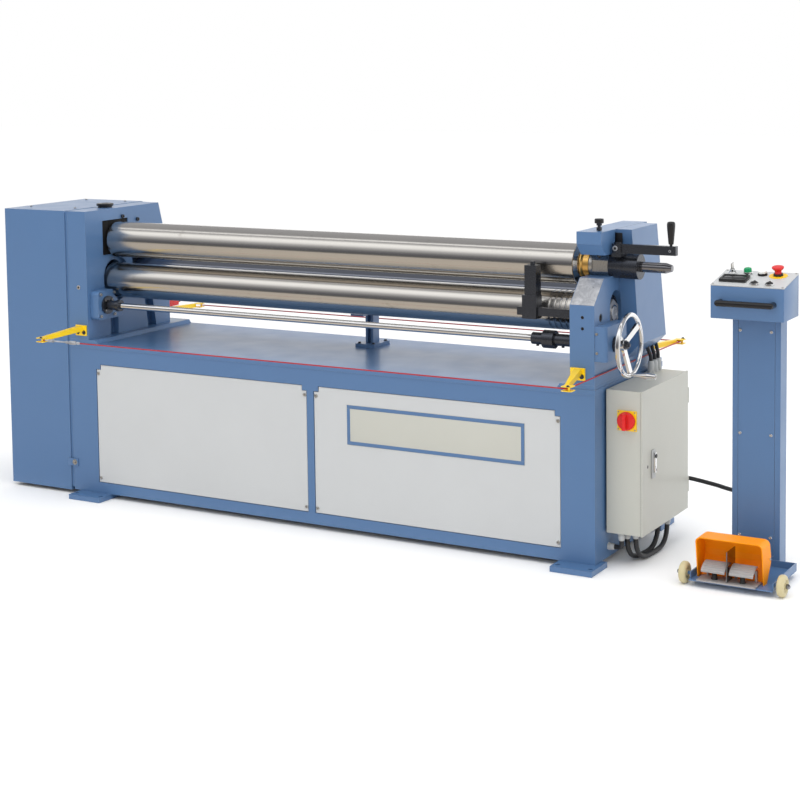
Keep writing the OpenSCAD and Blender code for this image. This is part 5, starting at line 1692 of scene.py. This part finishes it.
@dataclass
class StandTrim:
    """Screws, wheels, pedal treads and buffers of the control stand."""

    castor_x: float = 173.0
    castor_y: float = 20.0
    castor_r: float = 38.0
    castor_t: float = 26.0
    column_y: float = 265.0
    screw_x: Pair = (1633.0, 1745.0)
    screw_z: Triple = (857.0, 491.0, 125.0)
    pedal_mid: float = STAND_X - 14.0
    pedal_off: float = 50.0
    hood_screw: Triple = (1797.0, 100.0, 100.0)
    bend: Triple = (44.0, 22.0, 62.0)

    def build(self, fitter: Fitter) -> None:
        """Fits every piece on the stand."""
        spots = [(x, self.column_y, z) for z in self.screw_z for x in self.screw_x]
        fitter.fasten(Bench.pan_screw, "column_screws", 12, Axis.FRONT.vector, spots, "chrome")
        fitter.fasten(Bench.pan_screw, "hood_screw", 9, Axis.RIGHT.vector, [self.hood_screw])
        for side, body in ((-1, "wheel_left"), (1, "wheel_right")):
            self._wheel(fitter, side, body)
        for side, body in ((-1, "pedal_left"), (1, "pedal_right")):
            self._treads(fitter, side, body)
        self._buffers(fitter)

    def _wheel(self, fitter: Fitter, side: int, body: str) -> None:
        """Makes one wheel with a rounded tyre, a dished hub and a nut."""
        half, r = self.castor_t / 2, self.castor_r
        at = (STAND_X + side * self.castor_x, self.castor_y, self.castor_r)
        tyre = Bench.lathe(body + "_tyre", at, Axis.RIGHT.vector, [
            (-half + 2, 21), (-half, 24), (-half, r - 8), (-half + 2.5, r - 3.4), (-half + 6, r - 0.8),
            (-half + 9, r), (half - 9, r), (half - 6, r - 0.8), (half - 2.5, r - 3.4), (half, r - 8),
            (half, 24), (half - 2, 21), (half - 5, 19), (half - 5, 11), (half, 10), (half, 6.3), (-half, 6.3),
            (-half, 10), (-half + 5, 11), (-half + 5, 19),
        ], 56)
        fitter.fit(tyre, "cream_plastic", body)
        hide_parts(body)
        outer = (at[0] + side * (half + 0.6), at[1], at[2])
        axis = Axis.RIGHT if side > 0 else Axis.LEFT
        cap = [(0, 9.5), (8, 9.5), (8.6, 7.6), (11.4, 7), (13, 4.6), (13.6, 2)]
        fitter.fit(Bench.turned(body + "_nut", outer, axis.vector, cap, 6), "dark_steel")

    def _treads(self, fitter: Fitter, side: int, body: str) -> None:
        """Ribs one pedal's bent tread."""
        y0, z0, r = self.bend
        x = self.pedal_mid + side * self.pedal_off
        profile = [(0, 1.2), (1, 1.8), (75, 1.8), (76, 1.2)]
        ribs = []
        for step in range(6):
            turn = math.radians(90 + 9 * step)
            y, z = y0 + r * math.cos(turn), z0 + r * math.sin(turn)
            ribs.append(Bench.turned(body + "_treads", (x - 38, y, z), Axis.RIGHT.vector, profile, 12))
        fitter.fit(Bench.join(body + "_treads", ribs), "pedal_steel", body)

    def _buffers(self, fitter: Fitter) -> None:
        """Stands a rubber buffer under each pedal."""
        spots = [(self.pedal_mid + side * self.pedal_off, 16, 29) for side in (-1, 1)]
        profile = [(0, 11), (4, 11), (6, 9), (18, 8.4), (22, 7), (24, 4)]
        buffer = Bench.turned("pedal_buffers", spots[0], Axis.UP.vector, profile, 28)
        fitter.fit(Bench.scatter(buffer, spots), "cable_rubber")


@dataclass
class Cable:
    """One free cable with both ends in the machine."""

    name: str
    node: str
    points: list[Point]
    radius: float

    def build(self, fitter: Fitter) -> None:
        points = [(HALF_L + x, y, z) for x, y, z in self.points]
        curve = Bench.route(self.name, points, self.radius)
        fitter.fit(curve, "cable_rubber")
        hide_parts(self.node)


CABLES = [
    Cable("cable_inner_loop", "cable_loop_inner", [
        (66, 138, 92), (66, 138, 86), (67, 142, 63), (68, 152, 42), (70, 168, 26), (73, 189, 16),
        (77, 212, 12), (82, 247, 11), (87, 282, 12), (90, 305, 16), (93, 326, 26), (95, 342, 42),
        (97, 352, 63), (98, 356, 86), (98, 356, 92),
    ], 9.0),
    Cable("cable_outer_loop", "cable_loop_outer", [
        (94, 150, 92), (94, 150, 86), (95, 154, 63), (96, 164, 42), (98, 180, 26), (101, 201, 16),
        (104, 224, 12), (108, 269, 11), (112, 314, 12), (115, 337, 16), (118, 358, 26), (120, 374, 42),
        (121, 384, 63), (122, 388, 86), (122, 388, 92),
    ], 9.0),
    Cable("stand_link_cable", "link_cable", [
        (26, 605, 220), (34, 605, 220), (60, 605, 220), (98, 605, 219), (136, 604, 216), (174, 602, 212),
        (212, 597, 208), (248, 589, 205), (282, 577, 202), (314, 561, 202), (344, 541, 204), (372, 518, 209),
        (396, 494, 215), (417, 471, 221), (436, 448, 227), (449, 427, 231), (457, 408, 234), (460, 390, 236),
        (460, 376, 236), (460, 363, 236),
    ], 8.0),
]


def main() -> None:
    """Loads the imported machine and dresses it."""
    logging.basicConfig(level=logging.INFO, format="%(name)s: %(message)s")
    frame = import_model()
    Studio().build()
    fitter = Fitter(frame["nodes"])
    trims = (
        BaseTrim(), CabinetTrim(), RightFrameTrim(), DriveTrim(), ReleaseTrim(), TripTrim(), BoxTrim(),
        PanelTrim(), StandTrim(), *CABLES,
    )
    for trim in trims:
        trim.build(fitter)


if __name__ == "__main__":
    main()
